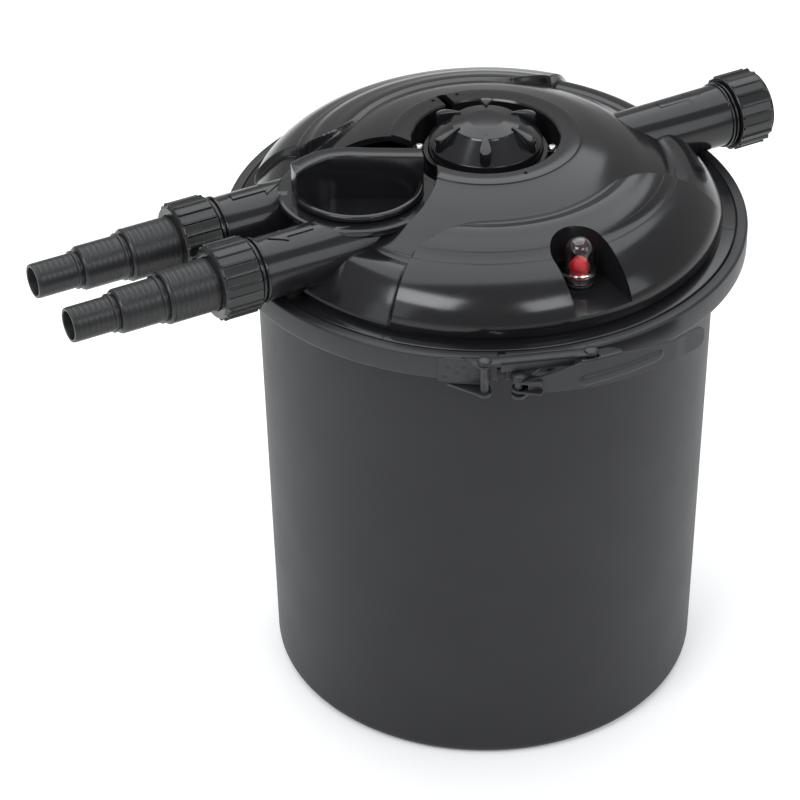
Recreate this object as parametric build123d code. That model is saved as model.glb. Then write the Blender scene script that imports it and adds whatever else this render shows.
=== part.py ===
from build123d import *
import os
from math import atan2, cos, degrees, hypot, radians, sin

# Pressurised canister filter for a garden pond: a tapered barrel with a domed lid held by a clamp ring,
# two hose inlets with a diverter valve on one side, one outlet on the other and a UV-C unit in the middle.
# Millimetres, +Z up, origin at the centre of the barrel's base, +X along the clean water outlet.

# ---- overall sizes ----
BARREL_TOP_R = 170.1       # outer radius under the rim
BARREL_BASE_R = BARREL_TOP_R - 5.3   # outer radius at the floor
RIM_Z = 375.7              # top face of the barrel's rim
BARREL_WALL = 4.0
FLOOR_T = 5.0
BASE_FILLET = 9.0

# ---- rim, lid flange and clamp ring ----
RIM_T = 7.0
FLANGE_R = BARREL_TOP_R + 19.7       # rim and lid flange reach this radius
RIM_GAP = 0.3              # left between the two flanges by the seal
LID_FLANGE_T = 7.9
LIP_INNER_R = FLANGE_R - 5.3         # inner edge of the clamp ring's upper lip
LID_STEP_H = 2.4           # the lid rises this much inside the lip
BAND_T = 2.0
BAND_R = FLANGE_R + 2.7              # outer radius of the clamp ring
FLANGE_CLEAR = 0.3
SEAL_R = BARREL_TOP_R + 6.4          # middle of the lid seal's groove
SEAL_W = 5.6
SEAL_H = 3.2

# ---- lid ----
LID_R = BARREL_TOP_R + 3.9           # side wall of the lid
LID_WALL = 4.0
LID_TOP_Z = RIM_Z + 74.8             # flat ring around the UV unit
LID_TOP_R = 68.6
SHOULDER_Z = RIM_Z + 33.3            # height at which cone and side wall would meet
SHOULDER_FILLET = 22.0
PANEL_IN_R = LID_R - 70.0            # the two raised panels on the shoulder
PANEL_IN_Z = RIM_Z + 63.8
PANEL_OUT_Z = RIM_Z + 45.3
PANEL_FILLET = 30.0
PANEL_HALF_ANGLE = 52.5
GROOVE_H = 4.0             # undercut between flange and side wall
GROOVE_D = 2.5
SPIGOT_H = 12.0            # the lid's plug inside the barrel
SPIGOT_T = 5.0
SPIGOT_CLEAR = 0.8

# ---- UV-C unit ----
KNOB_R = 41.5
KNOB_Z = RIM_Z + 73.3                # rim of the knob
KNOB_TOP_Z = KNOB_Z + 15.5
RECESS_R = KNOB_R + 11.8
RECESS_Z = RIM_Z + 48.3
KNOB_WALL = 3.0
KNOB_CLEAR = 0.6
FIN_COUNT = 6
FIN_T = 5.4
RING_T = 3.0               # retaining ring around the knob
EAR_Z = RECESS_Z + 16.0
EAR_T = 4.0
SCREW_PCR = KNOB_R + 6.8             # radius of the two screws
SCREW_AZ = (150.0, -30.0)
SCREW_R = 1.9
SCREW_FIT = 0.1
SLEEVE_R = 14.0
SLEEVE_T = 1.5
SLEEVE_LEN = 290.0
LAMP_R = 5.0
LAMP_GAP = 1.0

# ---- pipes ----
PIPE_Z = RIM_Z + 39.3                # height of the two inlets
PIPE_Y = 31.5
PIPE_R = 22.5
PIPE_BORE_R = 17.5
INLET_END_X = -LID_R - 48.0
OUTLET_Z = RIM_Z + 35.3
OUTLET_END_X = LID_R + 52.0
THREAD_R = 24.0
THREAD_LEN = 22.0
THREAD_CLEAR = 0.35

# ---- union nuts and hose tails ----
INLET_NUT_R = 27.8
OUTLET_NUT_R = 29.0
NUT_FACE_X = INLET_END_X - 15.0
NUT_LEN = 29.0
OUTLET_NUT_LEN = 29.0
OUTLET_NUT_FACE_X = OUTLET_END_X + 10.0
NUT_END_T = 6.2
NUT_RIBS = 20
RIB_H = 0.8
GASKET_T = 3.0
TAIL_FLANGE_T = 5.0
TAIL_STEPS = ((12.5, 34.0), (15.9, 35.0), (19.0, 44.5))   # radius and length, from the open end
TAIL_WALL = 2.4
TAIL_BEAD = 1.1
TAIL_END_X = INLET_END_X - 121.5
TAIL_CLEAR = 0.8

# ---- diverter valve ----
VALVE_X = -LID_R + 69.0
DIAL_R = 47.3
DIAL_Z = RIM_Z + 65.3                # top of the dial's lip
DIAL_H = 5.0
COLLAR_R = DIAL_R + 9.9              # also the radius of the well above the collar
COLLAR_Z = DIAL_Z - 5.5
COLLAR_T = 4.0
COLLAR_FOOT_R = 36.0
CHAMBER_R = 33.0
CHAMBER_FLOOR_Z = RIM_Z + 16.3
ROTOR_CLEAR = 0.4
ROTOR_T = 4.0
SPINDLE_R = 6.0
SPINDLE_FIT = 0.08
SPINDLE_IN = 1.8           # depth of the spindle's seat in the dial
GRIP_H = 19.0
GRIP_T = 13.0
GRIP_LINE = ((-0.98, -0.32), (-0.74, -0.03), (-0.48, 0.17), (-0.19, 0.23), (0.19, 0.22), (0.98, 0.21))
GRIP_AZ = -30.0                      # the grip points at the pipe that is open

# ---- flow indicator ----
IND_Y = -LID_R + 41.5
IND_Z = RIM_Z + 34.7                 # top of the dome's flange
IND_R = 10.2
IND_TOP_Z = IND_Z + 24.6
IND_WALL = 1.4
IND_FLANGE_R = IND_R + 2.1
IND_STUB_R = 8.0
POCKET_HALF_W = 22.0
POCKET_BACK_Y = IND_Y + 14.5
POCKET_Z = RIM_Z + 23.3
FLOAT_R = 6.2
FLOAT_H = 11.0
FLOAT_TRAVEL = 9.0

# ---- inside of the barrel ----
RISER_R = 44.0
RISER_T = 3.0
GRID_T = 4.0
GRID_Z = 80.0
FOAM_T = 50.0
FOAM_COUNT = 4
FOAM_GAP = 0.5
MEDIA_CLEAR = 1.8          # between the media and the barrel's wall
DRAIN_R = 13.0
DRAIN_T = 2.0
BALL_R = 18.0

# ---- clamp ring's lever ----
GAP_AZ = -116.3            # where the ring is split
GAP_W = 6.0
HINGE_AZ = -119.8          # link pin, on the left end of the ring
HINGE_R = BAND_R + 7.5
FULCRUM_AZ = -113.1        # lever pin, on the right end
FULCRUM_R = BAND_R + 10.5
JOIN_AZ = -98.4            # rivet between link and lever
JOIN_R = BAND_R + 8.0
LEVER_END_AZ = -71.8
PIN_R = 3.0
PIN_FIT = 0.06
SHEET_T = 2.0
LEVER_R = BAND_R + 13.5              # inner face of the lever's web
LEVER_LOW_Z = RIM_Z - 11.7
RIVET_HEAD_R = 5.0
RIVET_HEAD_H = 1.8

# ---- worked out from the sizes above ----
RIM_LOW_Z = RIM_Z - RIM_T
LID_Z = RIM_Z + RIM_GAP                          # underside of the lid's flange
LIP_Z = LID_Z + LID_FLANGE_T + FLANGE_CLEAR      # underside of the ring's upper lip
BAND_TOP_Z = LIP_Z + BAND_T
BAND_LOW_Z = RIM_LOW_Z - FLANGE_CLEAR - BAND_T
LID_INNER_R = LID_R - LID_WALL
BORE_TOP_R = BARREL_TOP_R - BARREL_WALL
WEB_REACH = LIP_INNER_R - LID_R - 1.5              # pipe webs stand on the flange inside the lip
EPS = 0.01


# ---- shared shapes ----
def cyl(radius, z0, z1, x=0.0, y=0.0):
    """Upright cylinder between two heights."""
    return Pos(x, y, (z0 + z1) / 2) * Cylinder(radius, z1 - z0)


def ring(outer, inner, z0, z1, x=0.0, y=0.0):
    """Upright ring of rectangular section."""
    return cyl(outer, z0, z1, x, y) - cyl(inner, z0 - 1, z1 + 1, x, y)


def pipe_x(radius, x0, x1, y, z):
    """Cylinder along X between two stations."""
    return Pos((x0 + x1) / 2, y, z) * Rot(0, 90, 0) * Cylinder(radius, abs(x1 - x0))


def block(x0, x1, y0, y1, z0, z1):
    """Box between two corners."""
    return Pos((x0 + x1) / 2, (y0 + y1) / 2, (z0 + z1) / 2) * Box(x1 - x0, y1 - y0, z1 - z0)


def turned(points, arc=360.0, rounded=None):
    """Solid of revolution about Z; rounded maps a point's index to its fillet."""
    face = make_face(Plane.XZ * Polyline(*points, close=True))
    for index, radius in (rounded or {}).items():
        r, z = points[index]
        corner = face.vertices().sort_by_distance(Vector(r, 0, z))[0]
        face = fillet(corner, radius)
    return revolve(face, Axis.Z, arc)


def at(radius, azimuth, z=0.0):
    """Point in cylindrical coordinates."""
    return (radius * cos(radians(azimuth)), radius * sin(radians(azimuth)), z)


def sector(radius, from_az, to_az, z0, z1):
    """Wedge of a disc, for cutting rings."""
    steps = [from_az + (to_az - from_az) * i / 6 for i in range(7)]
    reach = radius / cos(radians((to_az - from_az) / 12))
    outline = Polyline((0, 0), *[at(reach, az)[:2] for az in steps], close=True)
    return Pos(0, 0, z0) * extrude(make_face(outline), z1 - z0)


def straight_plate(ends, half_width, z0, z1):
    """Flat bar with round ends between two points on plan."""
    (xa, ya), (xb, yb) = ends
    length = hypot(xb - xa, yb - ya)
    turn = degrees(atan2(yb - ya, xb - xa))
    bar = Pos(length / 2, 0, 0) * Box(length, 2 * half_width, z1 - z0)
    bar = Pos(xa, ya, (z0 + z1) / 2) * Rot(0, 0, turn) * bar
    return bar + cyl(half_width, z0, z1, xa, ya) + cyl(half_width, z0, z1, xb, yb)


def save(name, shape):
    """Write one node."""
    export_step(shape, f"parts/{name}.step")


os.makedirs("parts", exist_ok=True)


# ---- barrel: tapered tub with a flat rim and a groove for the lid seal ----
def barrel():
    outside = turned([(0, 0), (BARREL_BASE_R, 0), (BARREL_TOP_R, RIM_LOW_Z), (FLANGE_R, RIM_LOW_Z),
                      (FLANGE_R, RIM_Z), (0, RIM_Z)], rounded={1: BASE_FILLET})
    taper = (BARREL_TOP_R - BARREL_BASE_R) / RIM_LOW_Z
    floor_r = BARREL_BASE_R + taper * FLOOR_T - BARREL_WALL
    inside = turned([(0, FLOOR_T), (floor_r, FLOOR_T), (BORE_TOP_R, RIM_LOW_Z), (BORE_TOP_R, RIM_Z + 1),
                     (0, RIM_Z + 1)], rounded={1: BASE_FILLET - BARREL_WALL})
    groove = ring(SEAL_R + SEAL_W / 2, SEAL_R - SEAL_W / 2, LID_Z - SEAL_H, RIM_Z + 1)
    return outside - inside - groove


save("barrel", barrel())
save("lid_seal", ring(SEAL_R + SEAL_W / 2, SEAL_R - SEAL_W / 2, LID_Z - SEAL_H, LID_Z))


# ---- lid: domed shell with pipes, valve housing, UV recess and indicator pocket ----
def cone_height(r):
    """Height of the lid's plain cone at a radius."""
    return LID_TOP_Z - (r - LID_TOP_R) * (LID_TOP_Z - SHOULDER_Z) / (LID_R - LID_TOP_R)


def dome(shrink, low_z):
    """The lid's plain dome, or its inside at a given wall."""
    drop = shrink * hypot(1, (LID_TOP_Z - SHOULDER_Z) / (LID_R - LID_TOP_R))
    points = [(0, low_z), (LID_R - shrink, low_z), (LID_R - shrink, SHOULDER_Z - drop),
              (LID_TOP_R, LID_TOP_Z - drop), (0, LID_TOP_Z - drop)]
    return turned(points, rounded={2: SHOULDER_FILLET - shrink})


def raised_panel(middle_az):
    """One of the two panels that stand proud of the shoulder."""
    low = SHOULDER_Z - SHOULDER_FILLET
    points = [(PANEL_IN_R, cone_height(PANEL_IN_R) - 2), (PANEL_IN_R, PANEL_IN_Z), (LID_R, PANEL_OUT_Z),
              (LID_R, low), (LID_R - LID_WALL / 2, low)]
    panel = turned(points, arc=2 * PANEL_HALF_ANGLE, rounded={2: PANEL_FILLET})
    return Rot(0, 0, middle_az - PANEL_HALF_ANGLE) * panel


def pocket(grow, low_z):
    """Horseshoe pocket that the flow indicator stands in."""
    half = POCKET_HALF_W + grow
    back = POCKET_BACK_Y - POCKET_HALF_W
    return cyl(half, low_z, LID_TOP_Z, 0, back) + block(-half, half, -LID_R - 10, back, low_z, LID_TOP_Z)


def lid():
    outer = dome(0, LID_Z)
    for az in (90, -90):
        outer += raised_panel(az)
    outer += cyl(FLANGE_R, LID_Z, LID_Z + LID_FLANGE_T)
    outer += cyl(LIP_INNER_R - FLANGE_CLEAR, LID_Z, LID_Z + LID_FLANGE_T + LID_STEP_H)
    groove_z = LID_Z + LID_FLANGE_T + LID_STEP_H
    outer -= ring(LID_R + 1, LID_R - GROOVE_D, groove_z, groove_z + GROOVE_H)
    for y in (-PIPE_Y, PIPE_Y):
        outer += pipe_x(PIPE_R, INLET_END_X + THREAD_LEN, VALVE_X, y, PIPE_Z)
        outer += pipe_x(THREAD_R, INLET_END_X, INLET_END_X + THREAD_LEN, y, PIPE_Z)
    outer += pipe_x(PIPE_R, LID_TOP_R, OUTLET_END_X - THREAD_LEN, 0, OUTLET_Z)
    outer += pipe_x(THREAD_R, OUTLET_END_X - THREAD_LEN, OUTLET_END_X, 0, OUTLET_Z)
    outer += block(LID_R - LID_WALL, LID_R + WEB_REACH, -3, 3, LID_Z + LID_FLANGE_T, OUTLET_Z)
    for y in (-PIPE_Y, PIPE_Y):
        outer += block(-LID_R - WEB_REACH + 3, -LID_R + 14, y - 3, y + 3, LID_Z + LID_FLANGE_T, PIPE_Z)
    collar = Pos(VALVE_X, 0, 0) * turned([(0, CHAMBER_FLOOR_Z), (COLLAR_FOOT_R, CHAMBER_FLOOR_Z),
                                          (COLLAR_FOOT_R, PIPE_Z), (COLLAR_R, COLLAR_Z - COLLAR_T),
                                          (COLLAR_R, COLLAR_Z), (0, COLLAR_Z)])
    outer -= cyl(COLLAR_R, COLLAR_Z, LID_TOP_Z + 1, VALVE_X)
    outer += collar
    outer -= cyl(RECESS_R, RECESS_Z, LID_TOP_Z + 1)
    outer -= pocket(0, POCKET_Z)
    notch = Rot(0, 0, 90) * block(RECESS_R - 3, LID_TOP_R + 2, -3.5, 3.5, LID_TOP_Z - 8, LID_TOP_Z + 1)
    outer -= notch
    for az in SCREW_AZ:
        outer += cyl(5.5, RECESS_Z - EPS, EAR_Z - EAR_T, *at(SCREW_PCR, az)[:2])

    inner = dome(LID_WALL, LID_Z - 1)
    inner -= pocket(LID_WALL, POCKET_Z - LID_WALL)
    inner -= cyl(RECESS_R + LID_WALL, RECESS_Z - LID_WALL, LID_TOP_Z)
    inner -= cyl(COLLAR_R + LID_WALL, COLLAR_Z - 5, LID_TOP_Z, VALVE_X)
    inner -= cyl(CHAMBER_R + LID_WALL, CHAMBER_FLOOR_Z - LID_WALL, LID_TOP_Z, VALVE_X)
    for y in (-PIPE_Y, PIPE_Y):
        inner -= pipe_x(PIPE_BORE_R + LID_WALL, -LID_R, VALVE_X, y, PIPE_Z)
    inner -= pipe_x(PIPE_BORE_R + LID_WALL, RISER_R, LID_R, 0, OUTLET_Z)
    riser_seat = RISER_R + 0.4
    inner -= ring(riser_seat + LID_WALL, riser_seat, LID_Z + LID_FLANGE_T, RECESS_Z)

    shell = outer - inner
    spigot_r = BORE_TOP_R - SPIGOT_CLEAR
    shell += ring(spigot_r, spigot_r - SPIGOT_T, LID_Z - SPIGOT_H, LID_Z + 2)
    chamber_top = COLLAR_Z - LID_WALL
    shell -= cyl(CHAMBER_R, CHAMBER_FLOOR_Z, chamber_top, VALVE_X)
    shell -= cyl(SPINDLE_R + SPINDLE_FIT, chamber_top - 1, COLLAR_Z + 1, VALVE_X)
    shell -= ring(SPINDLE_R + 3.2, SPINDLE_R, chamber_top - EPS, chamber_top + 2.5, VALVE_X)
    shell -= cyl(DRAIN_R + 0.4, CHAMBER_FLOOR_Z - LID_WALL - 1, CHAMBER_FLOOR_Z + 1, VALVE_X)
    for y in (-PIPE_Y, PIPE_Y):
        shell -= pipe_x(PIPE_BORE_R, INLET_END_X - 1, VALVE_X, y, PIPE_Z)
    outlet_bore = pipe_x(PIPE_BORE_R, RISER_R - 4, OUTLET_END_X + 1, 0, OUTLET_Z)
    shell -= outlet_bore - cyl(RECESS_R + LID_WALL, RECESS_Z - LID_WALL, LID_TOP_Z)
    shell -= cyl(SLEEVE_R + 6.4, RECESS_Z - LID_WALL - 1, RECESS_Z + 1)
    shell -= cyl(IND_STUB_R + 0.2, POCKET_Z - LID_WALL - 1, POCKET_Z + 1, 0, IND_Y)
    for az in SCREW_AZ:
        shell -= cyl(SCREW_R + SCREW_FIT, RECESS_Z + 2, EAR_Z, *at(SCREW_PCR, az)[:2])
    return shell.solids().sort_by(SortBy.VOLUME)[-1]


save("lid", lid())


# ---- clamp ring: split C section that squeezes rim and lid together ----
def clamp_ring():
    wall = ring(BAND_R, BAND_R - BAND_T, BAND_LOW_Z, BAND_TOP_Z)
    upper = ring(BAND_R - BAND_T / 2, LIP_INNER_R, LIP_Z, BAND_TOP_Z)
    lower = ring(BAND_R - BAND_T / 2, LIP_INNER_R, BAND_LOW_Z, BAND_LOW_Z + BAND_T)
    half = degrees(GAP_W / 2 / BAND_R)
    split = sector(BAND_R + 5, GAP_AZ - half, GAP_AZ + half, BAND_LOW_Z - 1, BAND_TOP_Z + 1)
    return wall + upper + lower - split


save("clamp_ring", clamp_ring())

HINGE = at(HINGE_R, HINGE_AZ)[:2]
FULCRUM = at(FULCRUM_R, FULCRUM_AZ)[:2]
JOIN = at(JOIN_R, JOIN_AZ)[:2]
EAR_LOW_Z = LEVER_LOW_Z                  # underside of both brackets' lower ears
LINK_Z = BAND_TOP_Z + 1.0                # underside of the link's top plate
FULCRUM_EAR_Z = RIM_Z + 0.8              # underside of the right bracket's upper ear


def bracket(pin, pin_az, far_az, upper_z):
    """Plate spot welded to the ring, with an ear above and below for a pin."""
    low, high = sorted((pin_az, far_az))
    plate = ring(BAND_R + SHEET_T, BAND_R, BAND_LOW_Z, BAND_TOP_Z)
    plate &= sector(BAND_R + 10, low, high, BAND_LOW_Z - 1, BAND_TOP_Z + 1)
    mid = at(BAND_R + SHEET_T / 2, (pin_az + far_az) / 2)[:2]
    for z0 in (EAR_LOW_Z - SHEET_T, upper_z):
        ear = straight_plate((mid, pin), RIVET_HEAD_R, z0, z0 + SHEET_T)
        ear -= cyl(BAND_R, z0 - 1, z0 + SHEET_T + 1)
        plate += ear
    rise = ring(BAND_R + SHEET_T, BAND_R, EAR_LOW_Z - SHEET_T, upper_z + SHEET_T)
    quarter = (pin_az + 3 * far_az) / 4
    span = sorted((quarter, (3 * pin_az + far_az) / 4))
    plate += rise & sector(BAND_R + 10, *span, EAR_LOW_Z - 5, upper_z + 5)
    return plate - cyl(PIN_R, 0, 500, *pin)


def pin(place, z0, z1):
    """Vertical pin with a low rivet head at each end."""
    head = RIVET_HEAD_H
    body = cyl(PIN_R, z0, z1, *place)
    return body + cyl(RIVET_HEAD_R, z1, z1 + head, *place) + cyl(RIVET_HEAD_R, z0 - head, z0, *place)


save("left_bracket", bracket(HINGE, HINGE_AZ, HINGE_AZ - 9.5, LINK_Z - SHEET_T - 0.3))
save("right_bracket", bracket(FULCRUM, FULCRUM_AZ, FULCRUM_AZ + 8.0, FULCRUM_EAR_Z))
save("link_pin", pin(HINGE, EAR_LOW_Z - SHEET_T, LINK_Z + SHEET_T))
save("fulcrum_pin", pin(FULCRUM, EAR_LOW_Z - SHEET_T, FULCRUM_EAR_Z + SHEET_T))


# ---- latch link: flat strap with a turned-down outer edge ----
def latch_link():
    strap = straight_plate((HINGE, JOIN), 4.6, LINK_Z, LINK_Z + SHEET_T)
    along = degrees(atan2(JOIN[1] - HINGE[1], JOIN[0] - HINGE[0]))
    span = hypot(JOIN[0] - HINGE[0], JOIN[1] - HINGE[1])
    edge = block(9, span - 20, -4.6, -4.6 + SHEET_T, LINK_Z - 6, LINK_Z + 1)
    strap += Pos(*HINGE, 0) * Rot(0, 0, along) * edge
    strap -= cyl(PIN_R + PIN_FIT, 0, 500, *HINGE)
    return strap - cyl(PIN_R, 0, 500, *JOIN)


save("latch_link", latch_link())
FLANGE_Z = LINK_Z - 0.4 - SHEET_T        # underside of the lever's upper flange at the rivet
save("link_rivet", pin(JOIN, FLANGE_Z - 0.4, LINK_Z + SHEET_T))


# ---- clamp lever: pressed channel that lies along the ring and ends in a rounded grip ----
def clamp_lever():
    middle = (FULCRUM_AZ + LEVER_END_AZ) / 2
    def across(az):
        return LEVER_R * sin(radians(az - middle))
    start, end = across(FULCRUM_AZ + 1.6), across(LEVER_END_AZ)
    join = across(JOIN_AZ)
    top = FLANGE_Z + SHEET_T
    outline = Polyline((start, LEVER_LOW_Z + 2.4), (join, LEVER_LOW_Z), (end - 30, LEVER_LOW_Z),
                       (end, LEVER_LOW_Z - 1), (end, LEVER_LOW_Z + 15), (end - 30, top - 6),
                       (join + 22, top), (join - 9, top), (start, LEVER_LOW_Z + 12.5), close=True)
    grip = make_face(outline)
    corners = grip.vertices().sort_by(Axis.X)[-2:]
    grip = fillet(corners, 6.5)
    stamp = Rot(0, 0, middle + 90) * extrude(Plane.XZ * grip, 260, dir=(0, -1, 0))
    shell = ring(LEVER_R + SHEET_T, LEVER_R, LEVER_LOW_Z - 5, top + 5)
    web = shell & stamp
    reach = LEVER_R - 10.0
    upper = ring(LEVER_R + SHEET_T, reach, FLANGE_Z, top)
    upper &= sector(LEVER_R + 20, JOIN_AZ - 2.4, JOIN_AZ + 5.5, FLANGE_Z - 1, top + 1)
    lever = web + upper
    for z0 in (LEVER_LOW_Z + 2.4, LEVER_LOW_Z + 10.1):
        ear = ring(LEVER_R + SHEET_T, FULCRUM_R - 5, z0, z0 + SHEET_T)
        ear &= sector(LEVER_R + 20, FULCRUM_AZ, FULCRUM_AZ + 6, z0 - 1, z0 + SHEET_T + 1)
        lever += ear + cyl(5.0, z0, z0 + SHEET_T, *FULCRUM)
    lever -= cyl(PIN_R + PIN_FIT, 0, 500, *FULCRUM)
    slot = block(-PIN_R - 2.8, PIN_R + 0.4, -PIN_R - 0.6, 12, FLANGE_Z - 1, top + 1)
    turn = degrees(atan2(JOIN[1] - FULCRUM[1], JOIN[0] - FULCRUM[0]))
    return lever - Pos(*JOIN, 0) * Rot(0, 0, turn) * slot


save("clamp_lever", clamp_lever())


# ---- union nuts: ribbed caps that pull the hose tails onto the pipe ends ----
def union_nut(radius, bore, hole, length):
    """Nut along +X with its face at x = 0 and its threaded end at x = length."""
    nut = pipe_x(radius - RIB_H, 0, length, 0, 0)
    rib_w = 3.6
    for i in range(NUT_RIBS):
        rib = block(1.5, length, -rib_w / 2, rib_w / 2, radius - 4, radius)
        nut += Rot(360 * i / NUT_RIBS, 0, 0) * rib
    nut &= pipe_x(radius, 0, length, 0, 0)
    nut -= pipe_x(bore, NUT_END_T, length + 1, 0, 0)
    return nut - pipe_x(hole, -1, NUT_END_T + 1, 0, 0)


nut_bore = THREAD_R + THREAD_CLEAR
tail_hole = TAIL_STEPS[-1][0] + TAIL_CLEAR
inlet_nut = union_nut(INLET_NUT_R, nut_bore, tail_hole, NUT_LEN)
save("inlet_union_nut", Pos(NUT_FACE_X, PIPE_Y, PIPE_Z) * inlet_nut)
save("drain_union_nut", Pos(NUT_FACE_X, -PIPE_Y, PIPE_Z) * inlet_nut)
outlet_nut = union_nut(OUTLET_NUT_R, nut_bore, tail_hole, OUTLET_NUT_LEN)
save("outlet_union_nut", Pos(OUTLET_NUT_FACE_X, 0, OUTLET_Z) * Rot(0, 0, 180) * outlet_nut)


# ---- hose tails: three steps for three hose sizes, with a sealing flange inside the nut ----
def hose_tail():
    """Tail along +X with its open end at x = 0."""
    flange_x = INLET_END_X - GASKET_T - TAIL_END_X
    body = None
    x = 0.0
    for index, (radius, length) in enumerate(TAIL_STEPS):
        last = index == len(TAIL_STEPS) - 1
        stop = flange_x if last else x + length
        step = pipe_x(radius, x, stop, 0, 0)
        if not last:
            step += pipe_x(radius + TAIL_BEAD, stop - 3, stop, 0, 0)
        bore = pipe_x(radius - TAIL_WALL, x - 1, stop + 1, 0, 0)
        body = (step - bore) if body is None else body + (step - bore)
        x = stop
    collar = pipe_x(THREAD_R - 0.6, flange_x - TAIL_FLANGE_T, flange_x, 0, 0)
    body += collar - pipe_x(PIPE_BORE_R - 1.0, 0, flange_x + 1, 0, 0)
    start = 0.0
    for (before, length), (radius, _) in zip(TAIL_STEPS, TAIL_STEPS[1:]):
        start += length
        shoulder = pipe_x(radius, start, start + 1.5, 0, 0) + pipe_x(before, start - 0.5, start, 0, 0)
        body += shoulder - pipe_x(before - TAIL_WALL, 0, 200, 0, 0)
    return body


tail = hose_tail()
save("inlet_hose_tail", Pos(TAIL_END_X, PIPE_Y, PIPE_Z) * tail)
save("drain_hose_tail", Pos(TAIL_END_X, -PIPE_Y, PIPE_Z) * tail)
gasket_x = INLET_END_X - GASKET_T
gasket = pipe_x(THREAD_R - 0.6, gasket_x, INLET_END_X, 0, PIPE_Z)
gasket -= pipe_x(PIPE_BORE_R, gasket_x - 1, INLET_END_X + 1, 0, PIPE_Z)
save("tail_gaskets", Compound([Pos(0, PIPE_Y, 0) * gasket, Pos(0, -PIPE_Y, 0) * gasket]))


# ---- diverter valve: dial with a curved grip on a spindle that turns the rotor ----
def grip_side(offset):
    """Points of the grip's curved middle line, moved sideways."""
    line = [(DIAL_R * u, DIAL_R * v) for u, v in GRIP_LINE]
    moved = []
    for i, (x, y) in enumerate(line):
        (xa, ya), (xb, yb) = line[max(i - 1, 0)], line[min(i + 1, len(line) - 1)]
        span = hypot(xb - xa, yb - ya)
        moved.append((x - offset * (yb - ya) / span, y + offset * (xb - xa) / span))
    return moved


def valve_dial():
    low = DIAL_Z - DIAL_H
    dish = cyl(DIAL_R, low, DIAL_Z, VALVE_X) - cyl(DIAL_R - 4, low + 2.5, DIAL_Z + 1, VALVE_X)
    side_a = Spline(*grip_side(GRIP_T / 2))
    side_b = Spline(*grip_side(-GRIP_T / 2))
    caps = [Line(side_a @ 0, side_b @ 0), Line(side_a @ 1, side_b @ 1)]
    grip = extrude(make_face([side_a, side_b, *caps]), DIAL_Z + GRIP_H - low)
    grip = Pos(VALVE_X, 0, low) * Rot(0, 0, GRIP_AZ) * grip
    grip &= cyl(DIAL_R - 1, low, DIAL_Z + GRIP_H, VALVE_X)
    return dish + grip - cyl(SPINDLE_R, low - 1, low + SPINDLE_IN, VALVE_X)


save("valve_dial", valve_dial())
chamber_top = COLLAR_Z - LID_WALL
rotor_top = chamber_top - ROTOR_CLEAR
rotor_low = CHAMBER_FLOOR_Z + ROTOR_CLEAR
spindle = cyl(SPINDLE_R, rotor_low + 1, DIAL_Z - DIAL_H + SPINDLE_IN, VALVE_X)
save("valve_spindle", spindle)


def valve_rotor():
    radius = CHAMBER_R - ROTOR_CLEAR
    rotor = cyl(radius, rotor_top - ROTOR_T, rotor_top, VALVE_X)
    port = cyl(DRAIN_R, rotor_low - 1, rotor_low + ROTOR_T + 1, VALVE_X)
    rotor += cyl(radius, rotor_low, rotor_low + ROTOR_T, VALVE_X) - port
    vane = block(VALVE_X - radius, VALVE_X + radius, -2.5, 2.5, rotor_low + 1, rotor_top - 1)
    rotor += vane & cyl(radius, rotor_low, rotor_top, VALVE_X)
    rotor += cyl(SPINDLE_R + 4, rotor_low + ROTOR_T, rotor_top, VALVE_X)
    return rotor - cyl(SPINDLE_R, rotor_low - 5, rotor_top + 5, VALVE_X)


save("valve_rotor", valve_rotor())
save("spindle_seal", ring(SPINDLE_R + 3.2, SPINDLE_R + SPINDLE_FIT, chamber_top, chamber_top + 2.5, VALVE_X))


# ---- UV-C unit: finned knob carrying lamp holder, lamp and quartz sleeve ----
def uv_knob():
    drop = KNOB_WALL
    skirt_z = RECESS_Z + 1.0
    outside = turned([(0, skirt_z), (KNOB_R, skirt_z), (KNOB_R, KNOB_Z), (KNOB_R * 0.6, KNOB_TOP_Z - 4),
                      (KNOB_R * 0.3, KNOB_TOP_Z), (0, KNOB_TOP_Z)], rounded={2: 4, 3: 8, 4: 6})
    inside = turned([(0, skirt_z + 4), (KNOB_R - drop, skirt_z + 4), (KNOB_R - drop, KNOB_Z - drop),
                     (KNOB_R * 0.6 - drop, KNOB_TOP_Z - 4 - drop), (0, KNOB_TOP_Z - 2 * drop)])
    knob = outside - inside
    for i in range(FIN_COUNT):
        fin = block(KNOB_R * 0.35, KNOB_R - 0.3, -FIN_T / 2, FIN_T / 2, KNOB_Z - 6, KNOB_TOP_Z - 4)
        fin = fillet(fin.edges().filter_by(Axis.Y).sort_by(Axis.X)[-1:].sort_by(Axis.Z)[-1:], 4)
        knob += Rot(0, 0, 360 * i / FIN_COUNT) * (fin - inside)
    return knob - cyl(SLEEVE_R + 2, skirt_z - 1, skirt_z + 5)


save("uv_knob", uv_knob())


def retaining_ring():
    inner = KNOB_R + KNOB_CLEAR
    plate = ring(inner + RING_T, inner, RECESS_Z, EAR_Z)
    for az in SCREW_AZ:
        ear = cyl(4.6, EAR_Z - EAR_T, EAR_Z, *at(SCREW_PCR, az)[:2])
        ear += Rot(0, 0, az) * block(inner + 1, SCREW_PCR, -4.6, 4.6, EAR_Z - EAR_T, EAR_Z)
        plate += ear - cyl(inner, EAR_Z - EAR_T - 1, EAR_Z + 1)
        plate -= cyl(5.7, RECESS_Z - 1, EAR_Z - EAR_T, *at(SCREW_PCR, az)[:2])
        plate -= cyl(SCREW_R + SCREW_FIT, EAR_Z - EAR_T - 1, EAR_Z + 1, *at(SCREW_PCR, az)[:2])
    return plate


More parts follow.
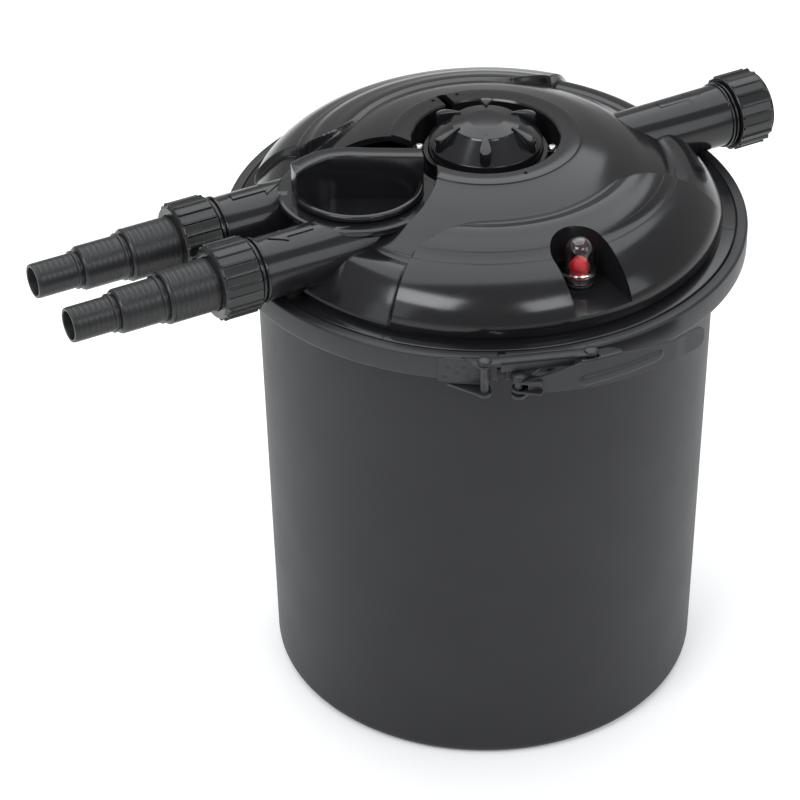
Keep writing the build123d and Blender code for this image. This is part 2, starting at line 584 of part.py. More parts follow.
save("uv_retaining_ring", retaining_ring())
screws = []
for az in SCREW_AZ:
    spot = at(SCREW_PCR, az)[:2]
    screw = cyl(SCREW_R, RECESS_Z + 3, EAR_Z, *spot) + cyl(3.4, EAR_Z, EAR_Z + 2.4, *spot)
    x, y = spot
    screws.append(screw - block(x - 2.4, x + 2.4, y - 0.5, y + 0.5, EAR_Z + 1.4, EAR_Z + 3))
save("uv_ring_screws", Compound(screws))

holder_top = RECESS_Z + 5.0 + 12.0
holder_low = RECESS_Z - 22.0
holder_r = SLEEVE_R - SLEEVE_T - 0.5
save("lamp_holder", cyl(holder_r, holder_low, holder_top) + cyl(SLEEVE_R + 6, RECESS_Z + 5.0, RECESS_Z + 8.0))
sleeve_top = RECESS_Z + 5.0
sleeve_low = sleeve_top - SLEEVE_LEN
sleeve = cyl(SLEEVE_R, sleeve_low, sleeve_top) - cyl(SLEEVE_R - SLEEVE_T, sleeve_low + 3, sleeve_top + 1)
save("quartz_sleeve", sleeve)
lamp_low = sleeve_low + 15.0
tubes = [cyl(LAMP_R, lamp_low, holder_low - 14, 0, side * (LAMP_R + LAMP_GAP / 2)) for side in (-1, 1)]
bridge = block(-2, 2, -LAMP_R, LAMP_R, lamp_low + 6, lamp_low + 12)
base = cyl(holder_r - 0.3, holder_low - 14, holder_low)
save("uv_lamp", tubes[0] + tubes[1] + bridge + base)
seal_out = SLEEVE_R + 6.2
save("sleeve_seal", ring(seal_out, SLEEVE_R + 0.3, RECESS_Z - 3.5, RECESS_Z))


# ---- flow indicator: threaded stub, clear dome and red float ----
stub_low = POCKET_Z - LID_WALL - 6.0
dome_low = IND_Z - 3.0
stub = cyl(IND_STUB_R, stub_low, dome_low, 0, IND_Y) + cyl(IND_STUB_R + 2.5, POCKET_Z, POCKET_Z + 3, 0, IND_Y)
save("indicator_stub", stub - cyl(3.0, stub_low - 1, dome_low + 1, 0, IND_Y))


def clear_dome():
    outside = cyl(IND_FLANGE_R, dome_low, IND_Z, 0, IND_Y) + cyl(IND_R, IND_Z, IND_TOP_Z - IND_R, 0, IND_Y)
    outside += Pos(0, IND_Y, IND_TOP_Z - IND_R) * Sphere(IND_R)
    bore = IND_R - IND_WALL
    inside = cyl(bore, dome_low - 1, IND_TOP_Z - IND_R, 0, IND_Y)
    inside += Pos(0, IND_Y, IND_TOP_Z - IND_R) * Sphere(bore)
    return outside - inside


save("indicator_dome", clear_dome())
float_low = dome_low + 0.3
float_body = cyl(FLOAT_R, float_low, float_low + FLOAT_H - FLOAT_R, 0, IND_Y)
float_body += Pos(0, IND_Y, float_low + FLOAT_H - FLOAT_R) * Sphere(FLOAT_R)
save("indicator_float", float_body & cyl(FLOAT_R, float_low, IND_TOP_Z, 0, IND_Y))
seal_top = POCKET_Z - LID_WALL
save("indicator_seal", ring(IND_STUB_R + 4, IND_STUB_R + 0.2, seal_top - 3, seal_top, 0, IND_Y))


# ---- inside of the barrel: media grids, foam discs, riser and drain pipe ----
def media_radius(z):
    """Largest radius that goes in at a height with its clearance."""
    taper = (BARREL_TOP_R - BARREL_BASE_R) / RIM_LOW_Z
    return BARREL_BASE_R + taper * z - BARREL_WALL - MEDIA_CLEAR


def through_holes(z0, z1, clear):
    """Holes for the riser and the drain pipe."""
    return cyl(RISER_R + clear, z0 - 1, z1 + 1) + cyl(DRAIN_R + clear, z0 - 1, z1 + 1, VALVE_X)


def grid_plate(z0):
    """Round plate with rings of holes."""
    plate = cyl(media_radius(z0), z0, z0 + GRID_T) - through_holes(z0, z0 + GRID_T, 0.6)
    holes = []
    for radius, count in ((62, 14), (80, 18), (130, 30), (147, 34)):
        for i in range(count):
            holes.append(cyl(4.5, z0 - 1, z0 + GRID_T + 1, *at(radius, 360 * i / count)[:2]))
    return plate - holes


feet = [cyl(7, FLOOR_T, GRID_Z, *at(110, 45 + 90 * i)[:2]) for i in range(4)]
lower_grid = grid_plate(GRID_Z)
for foot in feet:
    lower_grid += foot
save("lower_grid", lower_grid)
foam_z = GRID_Z + GRID_T + FOAM_GAP
for number in range(FOAM_COUNT):
    disc = cyl(media_radius(foam_z), foam_z, foam_z + FOAM_T) - through_holes(foam_z, foam_z + FOAM_T, 0.6)
    save(f"foam_disc_{number + 1}", disc)
    foam_z += FOAM_T + FOAM_GAP
save("upper_grid", grid_plate(foam_z))

riser_top = RECESS_Z - LID_WALL - 2.0
riser_low = FLOOR_T + 3.0
riser = ring(RISER_R, RISER_R - RISER_T, riser_low, riser_top)
riser -= pipe_x(PIPE_BORE_R, RISER_R - 10, RISER_R + 5, 0, OUTLET_Z)
for level in range(3):
    for i in range(8):
        slot = block(RISER_R - 8, RISER_R + 8, -3, 3, 20 + 18 * level, 30 + 18 * level)
        riser -= Rot(0, 0, 45 * i) * slot
save("riser_tube", riser)
drain_top = CHAMBER_FLOOR_Z - 0.2
save("drain_pipe", ring(DRAIN_R, DRAIN_R - DRAIN_T, FLOOR_T + 15.0, drain_top, VALVE_X))

balls = []
for radius, count in ((68.0, 9), (136.0, 21)):
    for i in range(count):
        x, y, _ = at(radius, 360 * (i + 0.5) / count)
        clear_of_foot = min(hypot(x - at(110, 45 + 90 * k)[0], y - at(110, 45 + 90 * k)[1]) for k in range(4))
        clear_of_drain = hypot(x - VALVE_X, y)
        if clear_of_foot > BALL_R + 7.5 and clear_of_drain > BALL_R + DRAIN_R + 0.5:
            balls.append(Pos(x, y, FLOOR_T + BALL_R + 0.2) * Sphere(BALL_R))
save("bio_balls", Compound(balls))
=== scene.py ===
import math

import bmesh
import bpy
import numpy as np
from mathutils import Matrix, Vector
from mathutils.geometry import convex_hull_2d


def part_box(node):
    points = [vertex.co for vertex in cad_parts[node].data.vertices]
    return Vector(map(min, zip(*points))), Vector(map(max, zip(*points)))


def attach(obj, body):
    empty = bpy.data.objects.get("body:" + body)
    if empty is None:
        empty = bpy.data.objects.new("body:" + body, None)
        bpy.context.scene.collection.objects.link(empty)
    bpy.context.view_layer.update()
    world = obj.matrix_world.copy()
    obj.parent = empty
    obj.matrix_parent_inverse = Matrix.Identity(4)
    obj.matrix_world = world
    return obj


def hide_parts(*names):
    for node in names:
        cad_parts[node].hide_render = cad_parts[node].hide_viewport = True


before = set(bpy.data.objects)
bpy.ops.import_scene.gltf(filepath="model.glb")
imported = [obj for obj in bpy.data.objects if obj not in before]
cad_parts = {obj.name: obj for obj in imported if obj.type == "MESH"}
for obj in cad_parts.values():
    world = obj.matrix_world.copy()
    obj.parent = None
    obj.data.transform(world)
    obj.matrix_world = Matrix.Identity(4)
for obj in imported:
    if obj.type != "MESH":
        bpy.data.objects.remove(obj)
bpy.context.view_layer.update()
MM = 0.001
scene = bpy.context.scene
scene.view_settings.view_transform = "Standard"


# ---- Camera: a long lens that looks down on the lid from the side with the flow indicator ----
# It stands 1.9 m from the filter's axis and 1.5 m above the slab, with no shift.
heading = math.radians(29.8)
distance, height = 1.87616, 1.53196
camera_turn, camera_dip, camera_roll = -0.4856, 0.6114, -0.0137
camera = bpy.data.objects.new("studio_camera", bpy.data.cameras.new("studio_camera"))
camera.location = (-distance * math.sin(heading), -distance * math.cos(heading), height)
camera.rotation_euler = (Matrix.Rotation(camera_turn, 3, "Z")
                         @ Matrix.Rotation(math.pi / 2 - camera_dip, 3, "X")
                         @ Matrix.Rotation(camera_roll, 3, "Z")).to_euler()
camera.data.lens = 134.04
camera.data.sensor_width = 36
camera.data.clip_end = 30
scene.collection.objects.link(camera)
scene.camera = camera


# ---- Studio: a pale painted floor, a wide soft box overhead and four smaller ones around ----
# The two high boxes draw the highlights on the lid's shoulder; the light is slightly cool.
class Amount:
    """A number that varies over a surface; arithmetic on it adds the nodes."""

    def __init__(self, finish, socket):
        self.finish, self.socket = finish, socket

    def maths(self, operation, first, second):
        return self.finish.node("Math", {"operation": operation}, {0: first, 1: second})

    def __add__(self, other):
        return self.maths("ADD", self, other)

    def __sub__(self, other):
        return self.maths("SUBTRACT", self, other)

    def __rsub__(self, other):
        return self.maths("SUBTRACT", other, self)

    def __mul__(self, other):
        return self.maths("MULTIPLY", self, other)

    def __pow__(self, other):
        return self.maths("POWER", self, other)

    def __abs__(self):
        return self.maths("ABSOLUTE", self, 0.0)

    def at_most(self, other):
        return self.maths("MINIMUM", self, other)

    __radd__, __rmul__ = __add__, __mul__


class Finish:
    """A material made of nodes."""

    def __init__(self, name, **constants):
        self.material = bpy.data.materials.new(name)
        self.material.use_nodes = True
        self.tree = self.material.node_tree
        self.tree.nodes.clear()
        self.shader = self.tree.nodes.new("ShaderNodeBsdfPrincipled")
        output = self.tree.nodes.new("ShaderNodeOutputMaterial")
        self.tree.links.new(self.shader.outputs[0], output.inputs[0])
        for socket, value in constants.items():
            self.shader.inputs[socket.replace("_", " ")].default_value = value

    def node(self, kind, settings, inputs, out=0):
        """One node: its settings first, then a value or a link for each of its sockets."""
        made = self.tree.nodes.new("ShaderNode" + kind)
        for key, value in settings.items():
            setattr(made, key, value)
        for key, value in inputs.items():
            if isinstance(value, Amount):
                self.tree.links.new(value.socket, made.inputs[key])
            else:
                made.inputs[key].default_value = value
        return Amount(self, made.outputs[out])

    def feed(self, socket, value):
        self.tree.links.new(value.socket, self.shader.inputs[socket])

    def place(self, stretch=(1, 1, 1)):
        """The spot on the object, in metres, stretched along an axis for drawn or turned marks."""
        spot = self.node("TexCoord", {}, {}, out=3)
        return self.node("Mapping", {}, {"Vector": spot, "Scale": stretch})

    def noise(self, scale, detail=2.0, stretch=(1, 1, 1), rough=0.5):
        return self.node("TexNoise", {}, {"Vector": self.place(stretch), "Scale": scale,
                                          "Detail": detail, "Roughness": rough})

    def ramp(self, value, low, high):
        """A soft step from 0 to 1 between two levels of a value."""
        return self.node("MapRange", {"interpolation_type": "SMOOTHSTEP"},
                         {"Value": value, "From Min": low, "From Max": high})

    def blend(self, share, first, second):
        return self.node("Mix", {"data_type": "RGBA"}, {"Factor": share, 6: first, 7: second}, out=2)

    def bump(self, height_map, depth, strength=1.0):
        """Relief of a given depth in millimetres."""
        return self.node("Bump", {}, {"Height": height_map, "Distance": depth * MM, "Strength": strength})


def new_piece(name, mesh):
    piece = bpy.data.objects.new(name, mesh)
    scene.collection.objects.link(piece)
    return piece


paint = Finish("floor_paint", Roughness=0.6, Specular_IOR_Level=0.2, Emission_Strength=0.16)
paint.feed("Base Color", paint.blend(paint.noise(3.0), (0.93, 0.93, 0.93, 1), (0.96, 0.96, 0.96, 1)))
slab = bpy.data.meshes.new("studio_floor")
slab.from_pydata([(-9, -9, 0), (9, -9, 0), (9, 9, 0), (-9, 9, 0)], [], [(0, 1, 2, 3)])
slab.materials.append(paint.material)
new_piece("studio_floor", slab)


def soft_box(name, place, target, size, power, tall=None):
    lamp = bpy.data.lights.new(name, "AREA")
    lamp.shape, lamp.size, lamp.size_y, lamp.energy = "RECTANGLE", size, tall or size, power
    lamp.color = (0.955, 0.985, 1.0)
    piece = bpy.data.objects.new(name, lamp)
    piece.location = place
    aim = Vector(target) - piece.location
    piece.rotation_euler = aim.to_track_quat("-Z", "Y").to_euler()
    scene.collection.objects.link(piece)


soft_box("overhead_box", (0.3, 0.8, 2.6), (0, 0, 0.4), 3.2, 68)
soft_box("left_box", (-2.3, -0.7, 1.1), (0, 0, 0.3), 0.9, 5, 1.6)
soft_box("right_box", (1.25, -1.85, 1.25), (0, 0, 0.3), 1.1, 8, 1.2)
soft_box("high_left_box", (-1.26, -0.64, 1.82), (0, 0, 0.41), 0.95, 15, 0.6)
soft_box("high_front_box", (0.06, -1.58, 1.64), (0, 0, 0.41), 0.65, 7, 0.6)
world = bpy.data.worlds.new("studio_air")
world.use_nodes = True
world.node_tree.nodes["Background"].inputs["Color"].default_value = (1, 1, 1, 1)
world.node_tree.nodes["Background"].inputs["Strength"].default_value = 0.44
scene.world = world


# ---- Barrel: rotationally moulded tub of dark grey polyethylene ----
# Tapered wall with a rounded foot and a flat rim that the clamp ring grips.
# The mould leaves a fine satin grain.
def rounded(corners, steps=6):
    """Outline through corners (x, z, radius), each rounded by its radius."""
    line = []
    for i, (x, z, *rest) in enumerate(corners):
        radius = rest[0] if rest else 0
        here = np.array((x, z), float)
        before = np.array(corners[i - 1][:2], float) - here
        after = np.array(corners[(i + 1) % len(corners)][:2], float) - here
        spans = np.linalg.norm(before), np.linalg.norm(after)
        if not radius or min(spans) < 1e-6:
            line.append(tuple(here))
            continue
        before, after = before / spans[0], after / spans[1]
        half = math.acos(np.clip(before @ after, -1, 1)) / 2
        back = min(radius / math.tan(half), 0.49 * min(spans))
        middle = (before + after) / np.linalg.norm(before + after)
        reach = back * math.tan(half)
        centre = here + middle * reach / math.sin(half)
        start, end = here + before * back - centre, here + after * back - centre
        turn = math.atan2(start[0] * end[1] - start[1] * end[0], start @ end)
        for k in range(steps + 1):
            a = turn * k / steps
            line.append((centre[0] + start[0] * math.cos(a) - start[1] * math.sin(a),
                         centre[1] + start[0] * math.sin(a) + start[1] * math.cos(a)))
    return line


def mesh_from(name, points, faces, sharp=32):
    """Mesh in metres from points in millimetres, with doubled points merged and edges kept crisp."""
    mesh = bpy.data.meshes.new(name)
    mesh.from_pydata([tuple(MM * c for c in p) for p in points], [], faces)
    work = bmesh.new()
    work.from_mesh(mesh)
    bmesh.ops.remove_doubles(work, verts=work.verts, dist=2e-6)
    bmesh.ops.dissolve_degenerate(work, edges=work.edges, dist=1e-6)
    bmesh.ops.recalc_face_normals(work, faces=work.faces)
    work.to_mesh(mesh)
    work.free()
    finish_shading(mesh, sharp)
    return mesh


def finish_shading(mesh, sharp=32):
    mesh.shade_smooth()
    mesh.set_sharp_from_angle(angle=math.radians(sharp))


def lathe(name, outline, turns=128, axis="z", centre=(0, 0, 0), arc=None, shape=None, sharp=32):
    """Solid of revolution of a closed outline (radius, station) in millimetres.
    shape(radius, station, angle) may move each point; arc = (from, to) in degrees leaves capped ends."""
    first, last = arc or (0, 360)
    angles = np.radians(np.linspace(first, last, turns + 1))
    angles = angles if arc else angles[:-1]
    points = []
    for angle in angles:
        for radius, station in outline:
            r, s = shape(radius, station, angle) if shape else (radius, station)
            u, v = r * math.cos(angle), r * math.sin(angle)
            x, y, z = (u, v, s) if axis == "z" else (s, u, v)
            points.append((x + centre[0], y + centre[1], z + centre[2]))
    n, m = len(angles), len(outline)
    faces = [(i * m + j, i * m + (j + 1) % m, (i + 1) % n * m + (j + 1) % m, (i + 1) % n * m + j)
             for i in range(n if not arc else n - 1) for j in range(m)]
    if arc:
        faces += [tuple(range(m)), tuple((n - 1) * m + j for j in reversed(range(m)))]
    return mesh_from(name, points, faces, sharp)


def join(name, *meshes):
    """Several closed meshes in one object, without merging them."""
    work = bmesh.new()
    for mesh in meshes:
        work.from_mesh(mesh)
    made = bpy.data.meshes.new(name)
    work.to_mesh(made)
    work.free()
    return made


def carve(mesh, *steps):
    """Adds to or cuts from a mesh: each step is ("UNION" | "DIFFERENCE" | "INTERSECT", other mesh)."""
    body = new_piece("blank", mesh)
    for operation, other in steps:
        tool = new_piece("tool", other)
        cut = body.modifiers.new("cut", "BOOLEAN")
        cut.operation, cut.object, cut.solver = operation, tool, "MANIFOLD"
        bpy.context.view_layer.update()
        evaluated = body.evaluated_get(bpy.context.evaluated_depsgraph_get())
        result = bpy.data.meshes.new_from_object(evaluated)
        body.modifiers.clear()
        body.data = result
        bpy.data.objects.remove(tool)
    result = body.data
    bpy.data.objects.remove(body)
    return result


def put(name, mesh, finish, body, slot, *nodes, sharp=32):
    """A finished piece in its place: material, CAD body and the CAD nodes it stands for; slot is not used."""
    mesh.name = name
    finish_shading(mesh, sharp)
    mesh.materials.clear()
    mesh.materials.append(finish.material)
    piece = new_piece(name, mesh)
    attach(piece, body)
    if nodes:
        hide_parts(*nodes)
    return piece


def moulded(name, colour, lift, rough, grain, depth, scuff=0.04, **constants):
    """Moulded plastic: slight mottle, a grain of given size, faint scuffs that change its gloss."""
    skin = Finish(name, **constants)
    mottle = skin.ramp(skin.noise(9.0, 4.0), 0.35, 0.7)
    dark = (*colour, 1)
    pale = (*(min(1, c * lift) for c in colour), 1)
    skin.feed("Base Color", skin.blend(mottle, dark, pale))
    scuffs = skin.ramp(skin.noise(70.0, 3.0, (1, 1, 0.25), 0.7), 0.55, 0.8)
    skin.feed("Roughness", scuffs * scuff + skin.noise(24.0, 2.0) * (rough * 0.16) + rough * 0.92)
    fine = skin.noise(grain, 2.0, rough=0.6)
    skin.feed("Normal", skin.bump(fine, depth))
    return skin


barrel_finish = moulded("barrel_polyethylene", (0.0115, 0.0115, 0.0132), 1.22, 0.50, 1500.0, 0.035,
                        Specular_IOR_Level=0.32)
barrel_line = rounded([(0, 0), (164.8, 0, 9), (170.1, 366.2, 2), (170.6, 368.4), (189.8, 368.7, 1.2),
                       (189.8, 375.7, 1.2), (179.4, 375.7, 0.4), (179.4, 372.6), (173.6, 372.6),
                       (173.6, 375.7, 0.4), (166.1, 375.7, 1), (166.1, 368.7), (160.9, 8, 5), (0, 5)], 7)
put("barrel_tub", lathe("barrel", barrel_line, 192), barrel_finish, "root", "barrel_plastic", "barrel")


# ---- Lid: one deep moulding of gloss black ABS ----
# A domed shell with two raised panels, pipes, valve collar, recess for the UV unit and indicator pocket.
# It is moulded in one piece, so its surfaces run into each other with crisp creases.
PANEL_HALF = 52.5
PIPE_Y, PIPE_Z, OUTLET_Z, PIPE_BORE = 31.5, 415.0, 411.0, 17.5
VALVE_X, INDICATOR_Y = -105.0, -132.5
SCREW_CIRCLE, SCREW_AZIMUTHS = 48.3, (150, -30)
plain_shoulder = [(69.6, 449.0, 69.6), (80, 446.2, 80), (90, 443.2, 90), (103, 438.0, 103), (108, 435.8, 108),
                  (120, 429.0, 120), (131, 423.0, 131), (134.5, 420.6, 134.5), (140, 421.0, 140),
                  (149, 419.8, 150), (157.5, 413.8, 160), (165.5, 405.0, 170), (170.8, 397.6, 180),
                  (173.2, 393.6, 186), (173.9, 390.8, 191)]
panel_shoulder = [(69.6, 449.0, 69.6), (80, 446.2, 80), (90, 443.2, 90), (103, 438.6, 103), (108, 439.2, 108),
                  (120, 436.4, 120), (131, 432.6, 131), (134.5, 430.6, 134.5), (140, 428.6, 140),
                  (150, 424.6, 150), (160.2, 417.6, 160), (168.6, 408.6, 170), (173.0, 400.0, 180),
                  (173.9, 395.0, 186), (173.9, 390.8, 191)]


def shoulder_rows(keys, rows):
    """Smooth line through the keys, sampled at the stations in rows."""
    stations = [k[2] for k in keys]
    values = np.array([k[:2] for k in keys], float)
    slopes = np.gradient(values, stations, axis=0)
    made = []
    for t in rows:
        i = min(max(np.searchsorted(stations, t) - 1, 0), len(keys) - 2)
        span = stations[i + 1] - stations[i]
        s = (t - stations[i]) / span
        h = (2 * s**3 - 3 * s**2 + 1, s**3 - 2 * s**2 + s, -2 * s**3 + 3 * s**2, s**3 - s**2)
        made.append(h[0] * values[i] + h[1] * span * slopes[i]
                    + h[2] * values[i + 1] + h[3] * span * slopes[i + 1])
    return np.array(made)


def soft_step(value):
    value = np.clip(value, 0, 1)
    return value * value * (3 - 2 * value)


rows = np.concatenate([np.linspace(69.6, 100, 12), np.linspace(101.5, 150, 44), np.linspace(151.5, 191, 32)])
plain, raised = shoulder_rows(plain_shoulder, rows), shoulder_rows(panel_shoulder, rows)
azimuths = set(np.round(np.arange(0, 360, 1.25), 3))
for side in (-90, 90):
    for way in (-1, 1):
        corner = np.arange(side + way * 36, side + way * 54, way * 0.3)
        end = side + way * PANEL_HALF
        azimuths |= set(np.round(corner % 360, 3))
        azimuths |= set(np.round(np.arange(end - 1.8, end + 1.81, 0.2) % 360, 3))
azimuths = sorted(azimuths)
azimuths = [a for a, after in zip(azimuths, azimuths[1:] + [360]) if after - a > 0.12]
top_rows = [*[(r, 450.5) for r in (0, 30, 52, 60, 67.9)], (68.4, 450.35), (68.6, 449.9), (68.7, 449.4)]
skirt_rows = rounded([(173.9, 390.6), (171.6, 390.1), (171.6, 387.4), (173.6, 386.8, 0.3), (183.4, 386.6, 0.8),
                      (184.1, 384.4), (189.6, 384.0, 0.6), (189.6, 376.4), (165.3, 376.3), (165.3, 364.3, 1),
                      (160.3, 364.3, 1), (160.3, 380.0)], 4)
skirt_rows += [(165, 385), (169.2, 391), (168.0, 396), (162, 404.5), (153, 412), (140, 417), (133, 418.2),
               (120, 423), (105, 431), (90, 438), (70, 445), (40, 446), (0, 446)]
points, count = [], len(top_rows) + len(rows) + len(skirt_rows)
for azimuth in azimuths:
    side = 90 if azimuth <= 180 else 270
    off = abs(azimuth - side)
    inner_edge = 100 + 33 * min(1, off / PANEL_HALF) ** 7
    lean = 2.1 * min(1, off / PANEL_HALF) ** 6
    inside = np.minimum((rows - inner_edge) / math.hypot(1, lean), (PANEL_HALF - off) * rows * math.pi / 180)
    share = soft_step(inside / 3.6)
    line = plain + share[:, None] * (raised - plain)
    c, s = math.cos(math.radians(azimuth)), math.sin(math.radians(azimuth))
    points += [(r * c, r * s, z) for r, z in top_rows + [tuple(p) for p in line] + skirt_rows]
columns = len(azimuths)
faces = [(i * count + j, i * count + (j + 1) % count, (i + 1) % columns * count + (j + 1) % count,
          (i + 1) % columns * count + j) for i in range(columns) for j in range(count)]
dome = mesh_from("dome", points, faces)


def polar(radius, azimuth):
    """Plan position at a radius and an azimuth in degrees."""
    return radius * math.cos(math.radians(azimuth)), radius * math.sin(math.radians(azimuth))


def tube(outline, y, z, turns=72):
    """Turned solid along X at a height and side."""
    return lathe("tube", outline, turns, "x", (0, y, z))


def prism(outline, low, high, centre=(0, 0)):
    """Upright block with a given outline on plan."""
    n = len(outline)
    points = [(x + centre[0], y + centre[1], z) for z in (low, high) for x, y in outline]
    faces = [(i, (i + 1) % n, n + (i + 1) % n, n + i) for i in range(n)]
    return mesh_from("prism", points, faces + [tuple(range(n)), tuple(range(2 * n - 1, n - 1, -1))])


def bar(x0, x1, y0, y1, z0, z1):
    return prism([(x0, y0), (x1, y0), (x1, y1), (x0, y1)], z0, z1)


def disc(radius, low, high, x=0, y=0, turns=96):
    return lathe("disc", [(0, low), (radius, low), (radius, high), (0, high)], turns, "z", (x, y, 0))


def arrow(point_x, tail_x, y, pipe_radius, height):
    """Raised flow arrow that follows the top of a pipe."""
    way = 1 if point_x > tail_x else -1
    neck = point_x - way * 13
    outline = [(point_x, 0), (neck, 7.5), (neck, 3.6), (tail_x, 3.6), (tail_x, -3.6), (neck, -3.6),
               (neck, -7.5)]
    skin_radius = pipe_radius + 1.1
    raised_skin = tube([(0, -240), (skin_radius, -240), (skin_radius, 240), (0, 240)], y, height)
    return carve(prism(outline, height + 10, height + 40, (0, y)), ("INTERSECT", raised_skin))


inlet_line = rounded([(0, -222), (24.0, -222, 0.5), (24.0, -209.1, 0.3), (21.6, -208.9), (21.6, -207.1),
                      (24.4, -206.9, 0.4), (24.4, -204.9, 0.4), (21.8, -204.7), (21.8, -203.3),
                      (24.2, -203.1, 0.4), (24.2, -201.3, 0.4), (22.7, -200.9, 0.3), (22.7, VALVE_X),
                      (0, VALVE_X)], 3)
outlet_line = rounded([(0, 60), (22.7, 60), (23.5, 200.6, 0.4), (24.9, 200.8, 0.4), (24.9, 202.4, 0.4),
                       (22.4, 202.6), (22.4, 203.8), (24.9, 204.0, 0.4), (24.9, 205.6, 0.4),
                       (22.2, 205.8), (22.2, 208), (24, 208.2), (24, 226, 0.5), (0, 226)], 3)
COLLAR_R = 57.2
collar_line = rounded([(0, 405), (34, 405), (37.5, 414), (COLLAR_R - 0.8, 430.6, 1.2), (COLLAR_R, 431.8),
                       (COLLAR_R, 435.0, 0.7), (55, 435.7, 0.5), (50, 435.5), (0, 435.5)], 4)
additions = [tube(inlet_line, PIPE_Y, PIPE_Z), tube(inlet_line, -PIPE_Y, PIPE_Z),
             tube(outlet_line, 0, OUTLET_Z), lathe("collar", collar_line, 120, "z", (VALVE_X, 0, 0)),
             disc(37, 388.2, 431, VALVE_X), disc(57.3, 419.5, 446),
             bar(168, 182.5, -3, 3, 384.5, 411), bar(-179.5, -160, PIPE_Y - 3, PIPE_Y + 3, 384.5, 413),
             bar(-179.5, -160, -PIPE_Y - 3, -PIPE_Y + 3, 384.5, 413),
             arrow(-152, -190, PIPE_Y, 22.5, PIPE_Z), arrow(-192, -158, -PIPE_Y, 22.5, PIPE_Z),
             arrow(186, 148, 0, 22.5, OUTLET_Z)]


def pocket_head(radius):
    """Round inner end of the indicator's pocket on plan."""
    return [(radius * math.cos(a) - 3, -140 + radius * math.sin(a)) for a in np.linspace(0, math.pi, 33)]


def bore(start, end, y, height):
    return tube([(0, start), (PIPE_BORE, start), (PIPE_BORE, end), (0, end)], y, height)


under_skin = lathe("under_skin", [(0, 390), (172, 390), *[(r - 1, z - 1) for r, z in plain[::-1][6:]],
                                  (0, 448)], 120)
pocket_wall = prism(pocket_head(25) + [(-28, -175), (22, -175)], 395.5, 440)
additions.append(carve(pocket_wall, ("INTERSECT", under_skin)))
recess_line = rounded([(0, 424), (53.0, 424, 1.5), (53.4, 449.2), (54.6, 450.7), (54.6, 460), (0, 460)])
cuts = [disc(COLLAR_R, 435.7, 470, VALVE_X, 0, 120), disc(49.6, 435.4, 470, VALVE_X),
        disc(45.4, 422.6, 437, VALVE_X), disc(33, 392, 420, VALVE_X), lathe("recess", recess_line, 120),
        prism(pocket_head(22) + [(-25.6, -190), (19.6, -190)], 399, 470),
        bar(-3.6, 3.6, 51, 71, 442.5, 460),
        *[disc(1.4, 446.5, 455, *polar(*spot), 16) for spot in ((64, 97.8), (64, 79.9), (60, -91.6))],
        disc(20.4, 410, 430), disc(8.3, 380, 404, 0, INDICATOR_Y, 32), disc(13.4, 380, 400, VALVE_X)]
for y in (-PIPE_Y, PIPE_Y):
    cuts.append(carve(bore(-225, -138, y, PIPE_Z), ("DIFFERENCE", disc(48.4, 419.6, 450, VALVE_X))))
cuts.append(carve(bore(46, 230, 0, OUTLET_Z), ("DIFFERENCE", disc(57, 420, 450))))
for azimuth in SCREW_AZIMUTHS:
    cuts.append(disc(2.0, 420, 428, *polar(SCREW_CIRCLE, azimuth), 16))
lid = carve(dome, *[("UNION", m) for m in additions], *[("DIFFERENCE", m) for m in cuts])


def gloss_black(name):
    return moulded(name, (0.0075, 0.0075, 0.0085), 1.3, 0.16, 420.0, 0.012, 0.06, Specular_IOR_Level=0.42)


lid_finish, shell_finish = gloss_black("lid_gloss_black"), gloss_black("lid_shell_black")
across, along_y = [shell_finish.node("SeparateXYZ", {}, {"Vector": shell_finish.place()}, out=k)
                   for k in (0, 1)]
from_axis = (across * across + along_y * along_y) ** 0.5 * 1000
turned_off = across.maths("ARCTAN2", abs(across), abs(along_y)) * math.degrees(1)
portion = (turned_off * (1 / PANEL_HALF)).at_most(1.0)
squeeze = (portion ** 12 * 4.4 + 1) ** -0.5
border = ((from_axis - (portion ** 7 * 33 + 100)) * squeeze).at_most(
    (PANEL_HALF - turned_off) * from_axis * math.radians(1))
creases = 1 - shell_finish.ramp(abs(border), 0.25, 0.75)
for station in (131, 140):
    thin = 1 - shell_finish.ramp(abs(from_axis - station), 0.15, 0.55)
    creases = creases + thin * 0.55
creases = creases * shell_finish.ramp(turned_off, 60.0, 55.0)
grain = shell_finish.bump(shell_finish.noise(420.0, 2.0), 0.012)
shell_finish.feed("Normal", shell_finish.node("Bump", {}, {"Height": 1 - creases, "Distance": 0.45 * MM,
                                                           "Normal": grain}))
put("domed_lid", lid, shell_finish, "root", "lid_plastic", "lid", sharp=24)


# ---- Seals: black nitrile rings in the lid's groove, the unions and the spindle ----
# They are moulded rings that stay in their grooves; the clamp ring squeezes the large one.
def dress(finish, *nodes):
    """Gives CAD nodes whose shape is right a finish."""
    for node in nodes:
        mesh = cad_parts[node].data
        mesh.materials.clear()
        mesh.materials.append(finish.material)


rubber = moulded("nitrile_rubber", (0.014, 0.014, 0.014), 1.5, 0.62, 900.0, 0.05, 0.1)
dress(rubber, "lid_seal", "tail_gaskets", "sleeve_seal", "indicator_seal")
ring_line = rounded([(6.05, 420.2, 0.5), (9.2, 420.2, 0.8), (9.2, 422.5, 0.8), (6.05, 422.5, 0.5)], 4)
ring = lathe("ring", ring_line, 48, "z", (VALVE_X, 0, 0))
put("stem_seal", ring, rubber, "root", "seal_rubber", "spindle_seal")


